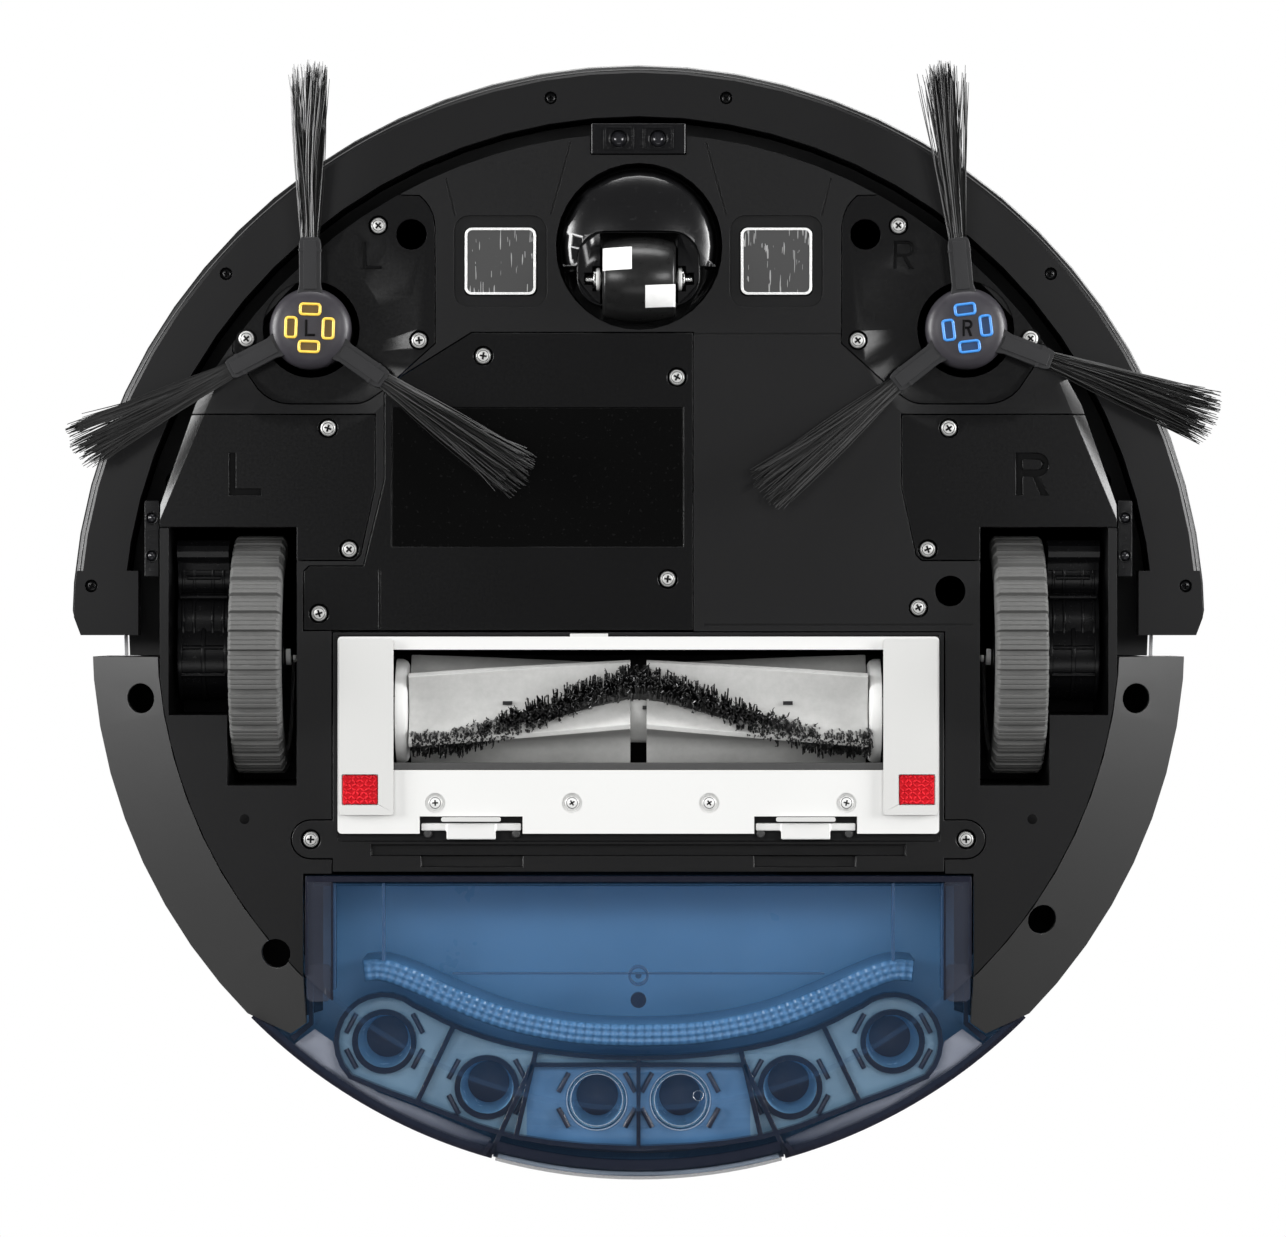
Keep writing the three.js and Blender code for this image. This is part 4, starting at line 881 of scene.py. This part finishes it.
def addBristleRow():
    # clumps of hair along a shallow V, frizzy at their tips
    hub = middle("brush_roller")
    chance = random.Random(23)
    hair, frizz = Form(), Form()

    def at(x, r, degrees):
        turn = math.radians(degrees)
        return Vector((x, hub.y + r * math.sin(turn), hub.z - r * math.cos(turn)))

    # dark root strip the clumps stand in
    for side in (-1, 1):
        rings = []
        for step in range(14):
            x = 66.2 * step / 13
            angle = rollerSet["rowAngle"] + 4 + rollerSet["rowTwist"] * min(x, rollerSet["rowFlatX"])
            rings.append([at(side * x, r, angle + turn) for r,
                          turn in ((8.6, -11), (13.2, -10), (14.4, 0), (13.2, 10),
                                                                         (8.6, 11))])
        hair.loft(rings)
    count = int(65.5 / rollerSet["clumpPitch"])
    for index in range(-count, count + 1):
        x = index * rollerSet["clumpPitch"] + 0.9
        angle = rollerSet["rowAngle"] + rollerSet["rowTwist"] * min(abs(x), rollerSet["rowFlatX"])
        for strand in range(rollerSet["strands"]):
            dx, turn = chance.uniform(-1.6, 1.6), angle + chance.uniform(-12, 12) + 4
            tipX, tipTurn = x + dx * 1.2 + chance.uniform(-0.4, 0.4), turn + chance.uniform(-6, 6) - 4
            root, end = 8.5, chance.uniform(17.0, 18.4)
            hair.tube([at(x + dx + (tipX - x - dx) * t, root + (end - root) * t,
                          turn + (tipTurn - turn) * t)
                       for t in (0, 0.5, 1)], rollerSet["strandRadius"], 3)
            if strand % 3 == 0:
                tip = at(tipX, end, tipTurn)
                for _ in range(2):
                    away = Vector([chance.uniform(-reach, reach) for reach in (0.8, 0.8, 0.6)])
                    frizz.tube([tip, tip + away], rollerSet["frizzRadius"], 3)
        if chance.random() < 0.5:
            tip = at(x, 16, angle)
            away = Vector((chance.uniform(-2, 2), chance.uniform(1.5, 4.5), chance.uniform(-0.4, 0.4)))
            frizz.tube([tip, tip + away], rollerSet["strayRadius"], 3)
    piece("bristleRow", hair, rowHair, "main_brush", ["roller_bristles"], smooth=False)
    piece("bristleFrizz", frizz, frizzHair, "main_brush", smooth=False)


rowHair = bristle("rowHair", (0.0005, 0.0005, 0.0005), (0.006, 0.006, 0.006))
frizzHair = bristle("frizzHair", (0.002, 0.002, 0.002), (0.022, 0.022, 0.022))
addRoller()
addBristleRow()
print("main brush done")


# ---- brush guard ----

def addGuardDetails():
    low, high = corners("brush_guard")
    strip = Form().block(-71.3, 71.3, 37.9, 39.9, 7.5, 10.0)
    for side in (-1, 1):
        strip.turned([(0.2, 8.2), (1.1, 8.2), (1.3, 8.6), (1.3, 10.2), (0.2, 10.2)],
                     spun(side * 61.0, 58.4), 16)
        strip.turned([(0.2, 8.2), (1.1, 8.2), (1.3, 8.6), (1.3, 10.2), (0.2, 10.2)],
                     spun(side * 35.4, 58.4), 16)
    piece("guardStrip", strip, stripPlastic, "guard", edge=0.2)
    tab = Form().block(-19.8, -8.8, 0.5, 1.6, 7.6, 9.6)
    for sideName, side in sides.items():
        # raised end blocks with the pad's seat left open, and lips beside the latches
        padLow, padHigh = corners("guard_pad_" + sideName)
        seat = sorted((side * padLow.x, side * padHigh.x))
        block = roundedBox(70.8, high.x - 0.5, low.y + 0.6, 53.0, 0.8, 4)
        hole = roundedBox(seat[0] - 0.1, seat[1] + 0.1, padLow.y - 0.1, padHigh.y + 0.1, 0.4)
        tab.prism([(side * x, y) for x, y in block], low.z - 0.35, low.z + 0.2,
                  [[(side * x, y) for x, y in hole]])
        tab.block(side * 78 - 5.4, side * 78 + 5.4, low.y + 3.1, 38.4, low.z + 0.1, low.z + 0.9)
        tab.prism(roundedBox(side * 48.4 - 8.6, side * 48.4 + 8.6, 53.6, 54.9, 0.5, 3), low.z - 0.3,
                  low.z + 0.6)
    piece("guardTrim", tab, trimPlastic, "guard", edge=0.12)


padSet = {"rows": 7, "columns": 8, "loopReach": 0.72, "loopRadius": 0.3, "jitter": 0.12}


def addLoopPads():
    # red looped fabric: rows of tiny loops on a backing
    chance = random.Random(31)
    jitter, bow, rows, columns = (padSet[key] for key in ("jitter", "loopReach", "rows", "columns"))
    for sideName, side in sides.items():
        low, high = corners("guard_pad_" + sideName)
        pad = Form().prism(roundedBox(low.x + 0.15, high.x - 0.15, low.y + 0.15, high.y - 0.15, 0.5),
                           low.z + 0.35, high.z)
        for row in range(rows):
            for column in range(columns):
                x = low.x + 0.9 + (high.x - low.x - 1.8) * column / (columns - 1)
                x += chance.uniform(-jitter, jitter)
                y = low.y + 0.8 + (high.y - low.y - 1.6) * row / (rows - 1)
                y += chance.uniform(-jitter, jitter)
                lean = math.radians(45 if (row + column) % 2 else -45) + chance.uniform(-0.25, 0.25)
                arc = [(x + bow * math.cos(t) * math.cos(lean), y + bow * math.cos(t) * math.sin(lean),
                        low.z + 0.5 - 0.6 * math.sin(t)) for t in (math.pi * step / 5 for step in range(6))]
                pad.tube(arc, padSet["loopRadius"], 5)
        piece("loopPad_" + sideName, pad, redLoop, "guard", ["guard_pad_" + sideName], edge=0.0)


stripPlastic = moulded("stripPlastic", (0.045, 0.045, 0.045), 0.35, grain=900)
redLoop = rubber("redLoop", (0.60, 0.004, 0.014), 0.8, 900)
addGuardDetails()
addLoopPads()
print("guard done")


# ---- sensors, contacts and small marks ----

def addSensors():
    glass, rings = Form(), Form()
    for x in (-5.7, 5.7):
        glass.turned([(0.1, 9.9), (1.2, 9.95), (2.0, 10.3), (2.4, 10.9), (2.4, 11.6), (0.1, 11.6)],
                     spun(x, -142.9), 28)
        rings.prism(roundedBox(x - 4.4, x + 4.4, -146.4, -139.6, 0.9), 9.35, 9.9,
                    [roundedBox(x - 3.8, x + 3.8, -145.8, -140.2, 0.9)])
        rings.tube([(px, py, 9.7) for px, py in circle(x, -142.9, 2.75, 28)], 0.25, 6, True)
    for side in (-1, 1):
        for y in (-33, -22):
            glass.turned([(0.1, 10.7), (0.8, 10.8), (1.3, 11.3), (1.3, 12.2), (0.1, 12.2)],
                         spun(side * 141.2, y), 20)
            rings.tube([(px, py, 10.95) for px, py in circle(side * 141.2, y, 1.75, 20)], 0.22, 6, True)
    piece("sensorGlass", glass, glassLens, "chassis", edge=0.1)
    piece("sensorRings", rings, gearShell, "chassis", edge=0.1)


def addContactHighlights():
    # painted highlight: a pale frame round each contact, for the light caught by its rounded edge
    highlightFrames = Form()
    for name in ("left", "right"):
        low, high = corners("charge_contact_" + name)
        highlightFrames.prism(roundedBox(low.x - 0.05, high.x + 0.05, low.y - 0.05, high.y + 0.05, 2.0, 6),
                     low.z - 0.12, low.z + 0.4,
                     [roundedBox(low.x + 0.65, high.x - 0.65, low.y + 0.65, high.y - 0.65, 1.5, 6)])
    piece("contactRimHighlights", highlightFrames, contactHighlightPaint, "chassis", edge=0.1)


def addBumperHighlight():
    # painted highlight: the thin bright line along the bumper's lower edge, where its chamfer catches the
    # light
    low = corners("bumper_shell")[0].z
    line = Form().tube([(x, y, low + 0.62) for x, y in circle(0, 0, 163.35, 90, 184, 356)], 0.17, 6)
    piece("bumperEdgeHighlight", line, edgeHighlightPaint, "bumper", edge=0.0)


def addDimples():
    dots = Form()
    for side in (-1, 1):
        dots.turned([(0.1, 9.95), (1.5, 9.95), (1.5, 10.3), (0.1, 10.3)], spun(side * 114.2, 54.3), 24)
    piece("shellDimples", dots, pitBlack, "chassis", edge=0.15)


glassLens = polished("glassLens", (0.012, 0.012, 0.014), 0.1, 0.03, 0.7)
# pale steel, the painted highlight on the contacts' edges
contactHighlightPaint = steel("contactHighlightPaint", (0.8, 0.8, 0.79), 0.25, 0.3)
# grey steel for the painted highlight along the bumper's edge
edgeHighlightPaint = steel("edgeHighlightPaint", (0.11, 0.11, 0.11), 0.3, 0.2)
addSensors()
addContactHighlights()
addBumperHighlight()
addDimples()
print("sensors and contacts done")


# ---- top ----

topSet = {"ringInset": 7.0, "ringWidth": 1.1, "iconRadius": 3.1, "iconStroke": 0.34}


def addTopDetails():
    # a fine ring near the top cover's edge and an icon on each button
    low, high = corners("top_cover")
    outer = (high.x - low.x) / 2 - topSet["ringInset"]
    ring = Form().turned([(outer - topSet["ringWidth"], high.z - 0.3),
                          (outer - topSet["ringWidth"], high.z + 0.10),
                          (outer, high.z + 0.10), (outer, high.z - 0.3)],
                         spun((low.x + high.x) / 2, (low.y + high.y) / 2), 120, True)
    piece("topRing", ring, topTrim, "chassis", edge=0.08)
    reach, stroke = topSet["iconRadius"], topSet["iconStroke"]
    power, home = Form(), Form()
    low, high = corners("power_button")
    x, y, z = (low.x + high.x) / 2, (low.y + high.y) / 2, high.z + 0.05
    power.tube([(px, py, z) for px, py in circle(x, y, reach, 28, 125, 415)], stroke, 6)
    power.tube([(x, y + 0.4, z), (x, y + reach + 0.7, z)], stroke, 6)
    low, high = corners("home_button")
    x, y, z = (low.x + high.x) / 2, (low.y + high.y) / 2, high.z + 0.05
    home.tube([(x - reach, y + 0.2, z), (x, y + reach, z), (x + reach, y + 0.2, z)], stroke, 6)
    home.tube([(x - 2.1, y + 0.6, z), (x - 2.1, y - 2.6, z), (x + 2.1, y - 2.6, z),
               (x + 2.1, y + 0.6, z)], stroke, 6)
    piece("powerIcon", power, topTrim, "power_button")
    piece("homeIcon", home, topTrim, "home_button")


topTrim = steel("topTrim", (0.42, 0.42, 0.43), 0.35, 0.3)
addTopDetails()
print("top done")


# ---- dust bin ----

binSet = {
    "filterLine": [(0, 117.4), (12, 117.2), (23.4, 116.0), (38.6, 112.8), (53.8, 106.8), (64, 102.0),
                   (74, 98.0),
                   (80, 98.6)],
    "filterHalf": 3.2, "filterLow": 15.0, "meshPitch": 2.5, "meshDepth": 0.6,
    "ports": [(74.9, 120.8), (44.7, 134.3), (12.3, 138.2)],
    "ductFront": [(0, 124.8), (15, 124.3), (30.0, 122.4), (42.5, 119.6), (54.2, 115.4), (65.5, 109.4)],
    "ductEnd": (75, 120.8, 14.7), "endAngles": (-130, 44),
    "ductRear": [(85.6, 131.4), (76, 135.4), (65.1, 139.3), (41.7, 148.6), (21, 151.9), (0, 152.9)],
    "bars": [((54.2, 115.6), (65.5, 139.2)), ((30.0, 122.6), (36.1, 148.9)),
             ((31.2, 127.3), (43.4, 153.6))],
    "ductLow": 31.5, "ductHigh": 36.0, "wall": 1.45, "cupTop": 52.0,
    "corner": [(95.6, 117.4), (90.4, 121.0), (87.5, 129.5), (77, 136.0), (66, 140.2), (43.6, 149.6)],
}


def smoothed(points, rounds=2):
    # rounds the corners of an open line
    for _ in range(rounds):
        cut = [points[0]]
        for (ax, ay), (bx, by) in zip(points, points[1:]):
            cut += [(ax * 0.75 + bx * 0.25, ay * 0.75 + by * 0.25),
                    (ax * 0.25 + bx * 0.75, ay * 0.25 + by * 0.75)]
        points = cut + [points[-1]]
    return points


def mirroredLoop(half):
    # a half outline on the +X side, from the middle round to the middle, made whole
    return half + [(-x, y) for x, y in reversed(half) if abs(x) > 0.01]


def offsetLoop(points, distance):
    # a closed outline moved inwards
    moved = []
    count = len(points)
    area = sum(points[i][0] * points[(i + 1) % count][1] - points[(i + 1) % count][0] * points[i][1]
               for i in range(count))
    turn = 1 if area > 0 else -1
    for i, (x, y) in enumerate(points):
        (bx, by), (ax, ay) = points[i - 1], points[(i + 1) % count]
        wayX, wayY = ax - bx, ay - by
        size = math.hypot(wayX, wayY) or 1
        moved.append((x - turn * wayY / size * distance, y + turn * wayX / size * distance))
    return moved


def addFilter():
    # pleated mesh: diamonds pressed into the band's lower face
    line = smoothed(binSet["filterLine"], 2)
    line = [(-x, y) for x, y in reversed(line[1:])] + line
    lengths = [0.0]
    for (ax, ay), (bx, by) in zip(line, line[1:]):
        lengths.append(lengths[-1] + math.hypot(bx - ax, by - ay))
    half, low, pitch = binSet["filterHalf"], binSet["filterLow"], binSet["meshPitch"]
    steps, across = 330, 12
    points, faces = [], []
    at = 0
    for i in range(steps + 1):
        run = lengths[-1] * i / steps
        while at < len(lengths) - 2 and lengths[at + 1] < run:
            at += 1
        t = (run - lengths[at]) / (lengths[at + 1] - lengths[at])
        (ax, ay), (bx, by) = line[at], line[at + 1]
        x, y = ax + (bx - ax) * t, ay + (by - ay) * t
        size = math.hypot(bx - ax, by - ay)
        nx, ny = -(by - ay) / size, (bx - ax) / size
        for j in range(across + 1):
            v = -half + 2 * half * j / across
            rise = math.sin(math.pi * (run + v * 1.3) / pitch) * math.sin(math.pi * (run - v * 1.3) / pitch)
            points.append((x + nx * v, y + ny * v,
                           low - binSet["meshDepth"] * rise - 0.5 * (1 - (v / half) ** 2)))
    top = len(points)
    row = across + 1
    points += [(x, y, 44.0) for x, y, z in points]
    for i in range(steps):
        for j in range(across):
            a = i * row + j
            faces.append([a, a + 1, a + row + 1, a + row])
            faces.append([top + a, top + a + row, top + a + row + 1, top + a + 1])
        for j in (0, across):
            a = i * row + j
            faces.append([a, a + row, top + a + row, top + a])
    for i in (0, steps):
        faces += [[i * row + j, i * row + j + 1, top + i * row + j + 1,
                   top + i * row + j] for j in range(across)]
    piece("filterMesh", Form().add(points, faces), filterBlue, "dust_bin", ["bin_filter"])


def addDuct():
    wall, low, high, cupTop = (binSet[key] for key in ("wall", "ductLow", "ductHigh", "cupTop"))
    end = circle(*binSet["ductEnd"], 12, *binSet["endAngles"])
    half = smoothed(binSet["ductFront"], 1)[:-1] + end + smoothed(binSet["ductRear"], 1)
    outline = mirroredLoop(half[:])
    walls = Form().prism(outline, low, high, [offsetLoop(outline, wall)])
    for (ax, ay), (bx, by) in binSet["bars"]:
        for side in (-1, 1):
            way = Vector((side * (bx - ax), by - ay)).normalized() * (wall * 0.5)
            walls.prism([(side * ax + way.y, ay - way.x), (side * bx + way.y, by - way.x),
                         (side * bx - way.y, by + way.x), (side * ax - way.y,
                                                           ay + way.x)], low + 0.3, high - 0.1)
    walls.block(-0.6, 0.6, 124.8, 152.6, low + 0.3, high - 0.1)
    walls.block(-31.4, 31.4, 127.0, 128.2, low + 0.6, high - 0.1)
    piece("ductWalls", walls, ductDark, "dust_bin", ["bin_duct"], edge=0.15)
    # cover behind the walls, open at the ports
    bores = [circle(side * x, y, 8.0, 28) for x, y in binSet["ports"] for side in (-1, 1)]
    cover = Form().prism(offsetLoop(outline, 0.4), high, high + 1.2, bores)
    piece("ductCover", cover, ductPaint(), "dust_bin", edge=0.0)
    rings, cups, floors, pale = Form(), Form(), Form(), Form()
    for number, (x, y) in enumerate(binSet["ports"]):
        for side in (-1, 1):
            spot = spun(side * x, y)
            if number == 2:
                for r in (7.7, 8.9):
                    pale.tube([(px, py, high - 0.6) for px, py in circle(side * x, y, r, 40)], 0.16, 6,
                              True)
            else:
                rings.turned([(7.85, high - 2.5), (9.5, high - 2.5), (9.5, high - 0.1), (7.85, high - 0.1)],
                             spot, 48, True)
            cups.turned([(7.8, high - 0.4), (8.5, high - 0.4), (6.9, cupTop + 0.6),
                         (6.1, cupTop + 0.6)], spot, 48, True)
            # painted shade: a dark floor at the top of each cup, for the shade deep in the port
            floors.turned([(0.1, cupTop), (6.5, cupTop), (6.5, cupTop + 0.8), (0.1, cupTop + 0.8)],
                          spot, 40)
            # slim clips beside each port
            for degrees in (28, 152, 208, 332):
                floors.block(10.4, 11.8, -3.2, 3.2, high - 1.2, high + 0.2, spun(side * x, y, 0, degrees))
    piece("portRings", rings, ductDark, "dust_bin", edge=0.15)
    piece("portEdges", pale, paleClear, "dust_bin")
    piece("portCups", cups, portBlue, "dust_bin", edge=0.0)
    piece("portFloors", floors, portShade, "dust_bin")
    ring = Form().tube([(x, y, low + 3) for x, y in circle(17.6, 136.8, 1.5, 20)], 0.18, 6, True)
    piece("portSpring", ring, silverSteel, "dust_bin")


def ductPaint():
    # greyer over the outer ports, bluer over the middle pair
    skin = Finish("ductPaint")
    x, y, z = skin.along()
    middlePair = (x > -0.033) * (x < 0.033) * (y > 0.128)
    haze = skin.noise(140, 3)
    grey = skin.blend(haze, (0.125, 0.23, 0.34, 1), (0.21, 0.35, 0.48, 1))
    blue = skin.blend(haze, (0.052, 0.145, 0.30, 1), (0.085, 0.21, 0.40, 1))
    return skin.surface({"Base Color": skin.blend(middlePair, grey, blue), "Roughness": 0.25 + haze * 0.1})


def cornerPaint():
    # pale at the bin's corners, darker towards its latch
    skin = Finish("cornerPaint")
    x, y, z = skin.along()
    paler = (x * x - 0.0020) * 200
    haze = skin.noise(90, 3)
    dark = skin.blend(haze, (0.045, 0.052, 0.080, 1), (0.075, 0.085, 0.12, 1))
    pale = skin.blend(haze, (0.34, 0.36, 0.43, 1), (0.42, 0.44, 0.52, 1))
    return skin.surface({"Base Color": skin.blend(paler, dark, pale), "Roughness": 0.3 + haze * 0.1})


def addCeiling():
    # the tub's blue inner roof and the drop of its rear wall, seen through the clear floor
    low, high = corners("bin_tub")
    outline = circle(0, 0, 159.6, 40, 47.5, 132.5)
    outline += [(-113, 108.5), (-101.2, 115.5), (-94.4, 113.4), (-94.4, 73.2), (94.4, 73.2), (94.4, 113.4),
                (101.2, 115.5), (113, 108.5)]
    roof = Form().prism(outline, high.z - 3.6, high.z - 2.3)
    roof.block(-94.3, 94.3, 73.0, 73.9, 14.0, high.z - 3.5)
    piece("binRoof", roof, roofBlue, "dust_bin", edge=0.0)
    # pale clear corners between the duct and the rim
    rear = Form()
    for start in (46, 105.4):
        rear.prism(circle(0, 0, 160.2, 20, start, start + 28.6) + circle(0, 0, 159.2, 20, start + 28.6,
                                                                         start),
                   36.2, high.z - 3.8)
    rear.prism(circle(0, 0, 153.9, 24, 74, 106) + circle(0, 0, 153.1, 24, 106, 74), 36.2, high.z - 3.8)
    piece("binRearWall", rear, smokyWall, "dust_bin", edge=0.1)
    buttonLow, buttonHigh = corners("bin_release_button")
    backing = Form().prism(circle(0, 0, 161.2, 24, 74.5, 105.5) + circle(0, 0, 158.4, 24, 105.5, 74.5),
                           buttonLow.z + 1.2, buttonHigh.z - 0.6)
    piece("latchBacking", backing, ductDark, "bin_release", edge=0.2)
    wings = Form()
    for side in (-1, 1):
        rim = circle(0, 0, 158.3, 14, 50.2, 74.2)
        wings.prism([(side * x, y) for x, y in rim + binSet["corner"][::-1]], 36.5, 37.5)
    piece("binCorners", wings, cornerPaint(), "dust_bin", edge=0.0)
    ends = Form()
    for side in (-1, 1):
        ends.prism([(side * x, y) for x, y in roundedBox(89.2, 96.2, 96.5, 107.2, 1.6)], 10.2, 14.5)
    piece("railEnds", ends, smokyClear, "dust_bin", edge=0.3)


def addBinRibs():
    ribs = Form()
    for side in (-1, 1):
        ribs.block(side * 74 - 0.4, side * 74 + 0.4, 72.9, 95.6, 12.3, 17.0)
        ribs.block(side * 88.3 - 0.35, side * 88.3 + 0.35, 72.9, 104.0, 12.3, 20.0)
    ribs.block(-54, 54, 99.0, 99.5, 12.3, 15.0)
    ribs.turned([(2.2, 12.3), (3.0, 12.3), (3.0, 16.0), (2.2, 16.0)], spun(0, 99.9), 32, True)
    ribs.turned([(0.1, 13.0), (0.9, 13.0), (0.9, 16.0), (0.1, 16.0)], spun(0, 99.9), 20)
    piece("binRibs", ribs, ribBlue, "dust_bin", edge=0.1)
    dark = Form().turned([(0.1, 13.0), (2.3, 13.0), (2.3, 16.0), (0.1, 16.0)], spun(0, 107), 28)
    # dark joint lines along the front edge, the rails and the outer rim
    dark.block(-96.3, 96.3, 70.9, 72.5, 9.95, 12.2)
    for side in (-1, 1):
        dark.block(side * 88.8 - 0.25, side * 88.8 + 0.25, 72.7, 106.8, 9.7, 12.4)
        dark.block(side * 96.2 - 0.35, side * 96.2 + 0.35, 72.7, 99.5, 9.7, 12.6)
        dark.prism([(side * x, y) for x, y in ((96.9, 99), (96.9, 114.8), (102.3, 119.1), (101.2, 120.4),
                                               (95.7, 115.6), (95.7, 99))], 30, 34)
        dark.prism([(side * x, y) for x,
                    y in ((42.6, 150.5), (43.9, 150.2), (46.3, 153.4), (44.9, 153.9))], 30, 36)
    for start in (44.9, 105.6):
        rim = circle(0, 0, 160.95, 24, start, start + 29.5) + circle(0, 0, 158.2, 24, start + 29.5, start)
        dark.prism(rim, 32.0, 36.0)
    lower = circle(0, 0, 158.2, 30, 74.6, 105.4) + circle(0, 0, 155.5, 30, 105.4, 74.6)
    dark.prism(lower, 30.5, 34.0)
    piece("binJoints", dark, ductDark, "dust_bin", edge=0.12)
    # painted highlight: a pale band along the latch's lower edge, where it catches the light
    band = circle(0, 0, 160.9, 30, 75, 105) + circle(0, 0, 159.7, 30, 105, 75)
    glint = Form().prism(band, 38.2, 38.95)
    piece("latchHighlight", glint, paleClear, "bin_release")


roofBlue = moulded("roofBlue", (0.080, 0.22, 0.43), 0.3, grain=60, depth=0.0, speck=0.10)
filterBlue = moulded("filterBlue", (0.050, 0.14, 0.28), 0.35, grain=800, depth=0.02, speck=0.12)
portBlue = moulded("portBlue", (0.20, 0.44, 0.70), 0.25, grain=200, depth=0.01, speck=0.15)
portShade = moulded("portShade", (0.026, 0.027, 0.042), 0.4, grain=300, depth=0.01, speck=0.25)
ribBlue = moulded("ribBlue", (0.022, 0.055, 0.12), 0.3, grain=300, depth=0.01, speck=0.15)
ductDark = moulded("ductDark", (0.008, 0.009, 0.017), 0.22, grain=400, depth=0.01, speck=0.15)
paleClear = moulded("paleClear", (0.35, 0.42, 0.52), 0.2, grain=300, depth=0.01, speck=0.1)
addCeiling()
addFilter()
addDuct()
addBinRibs()
print("dust bin done")
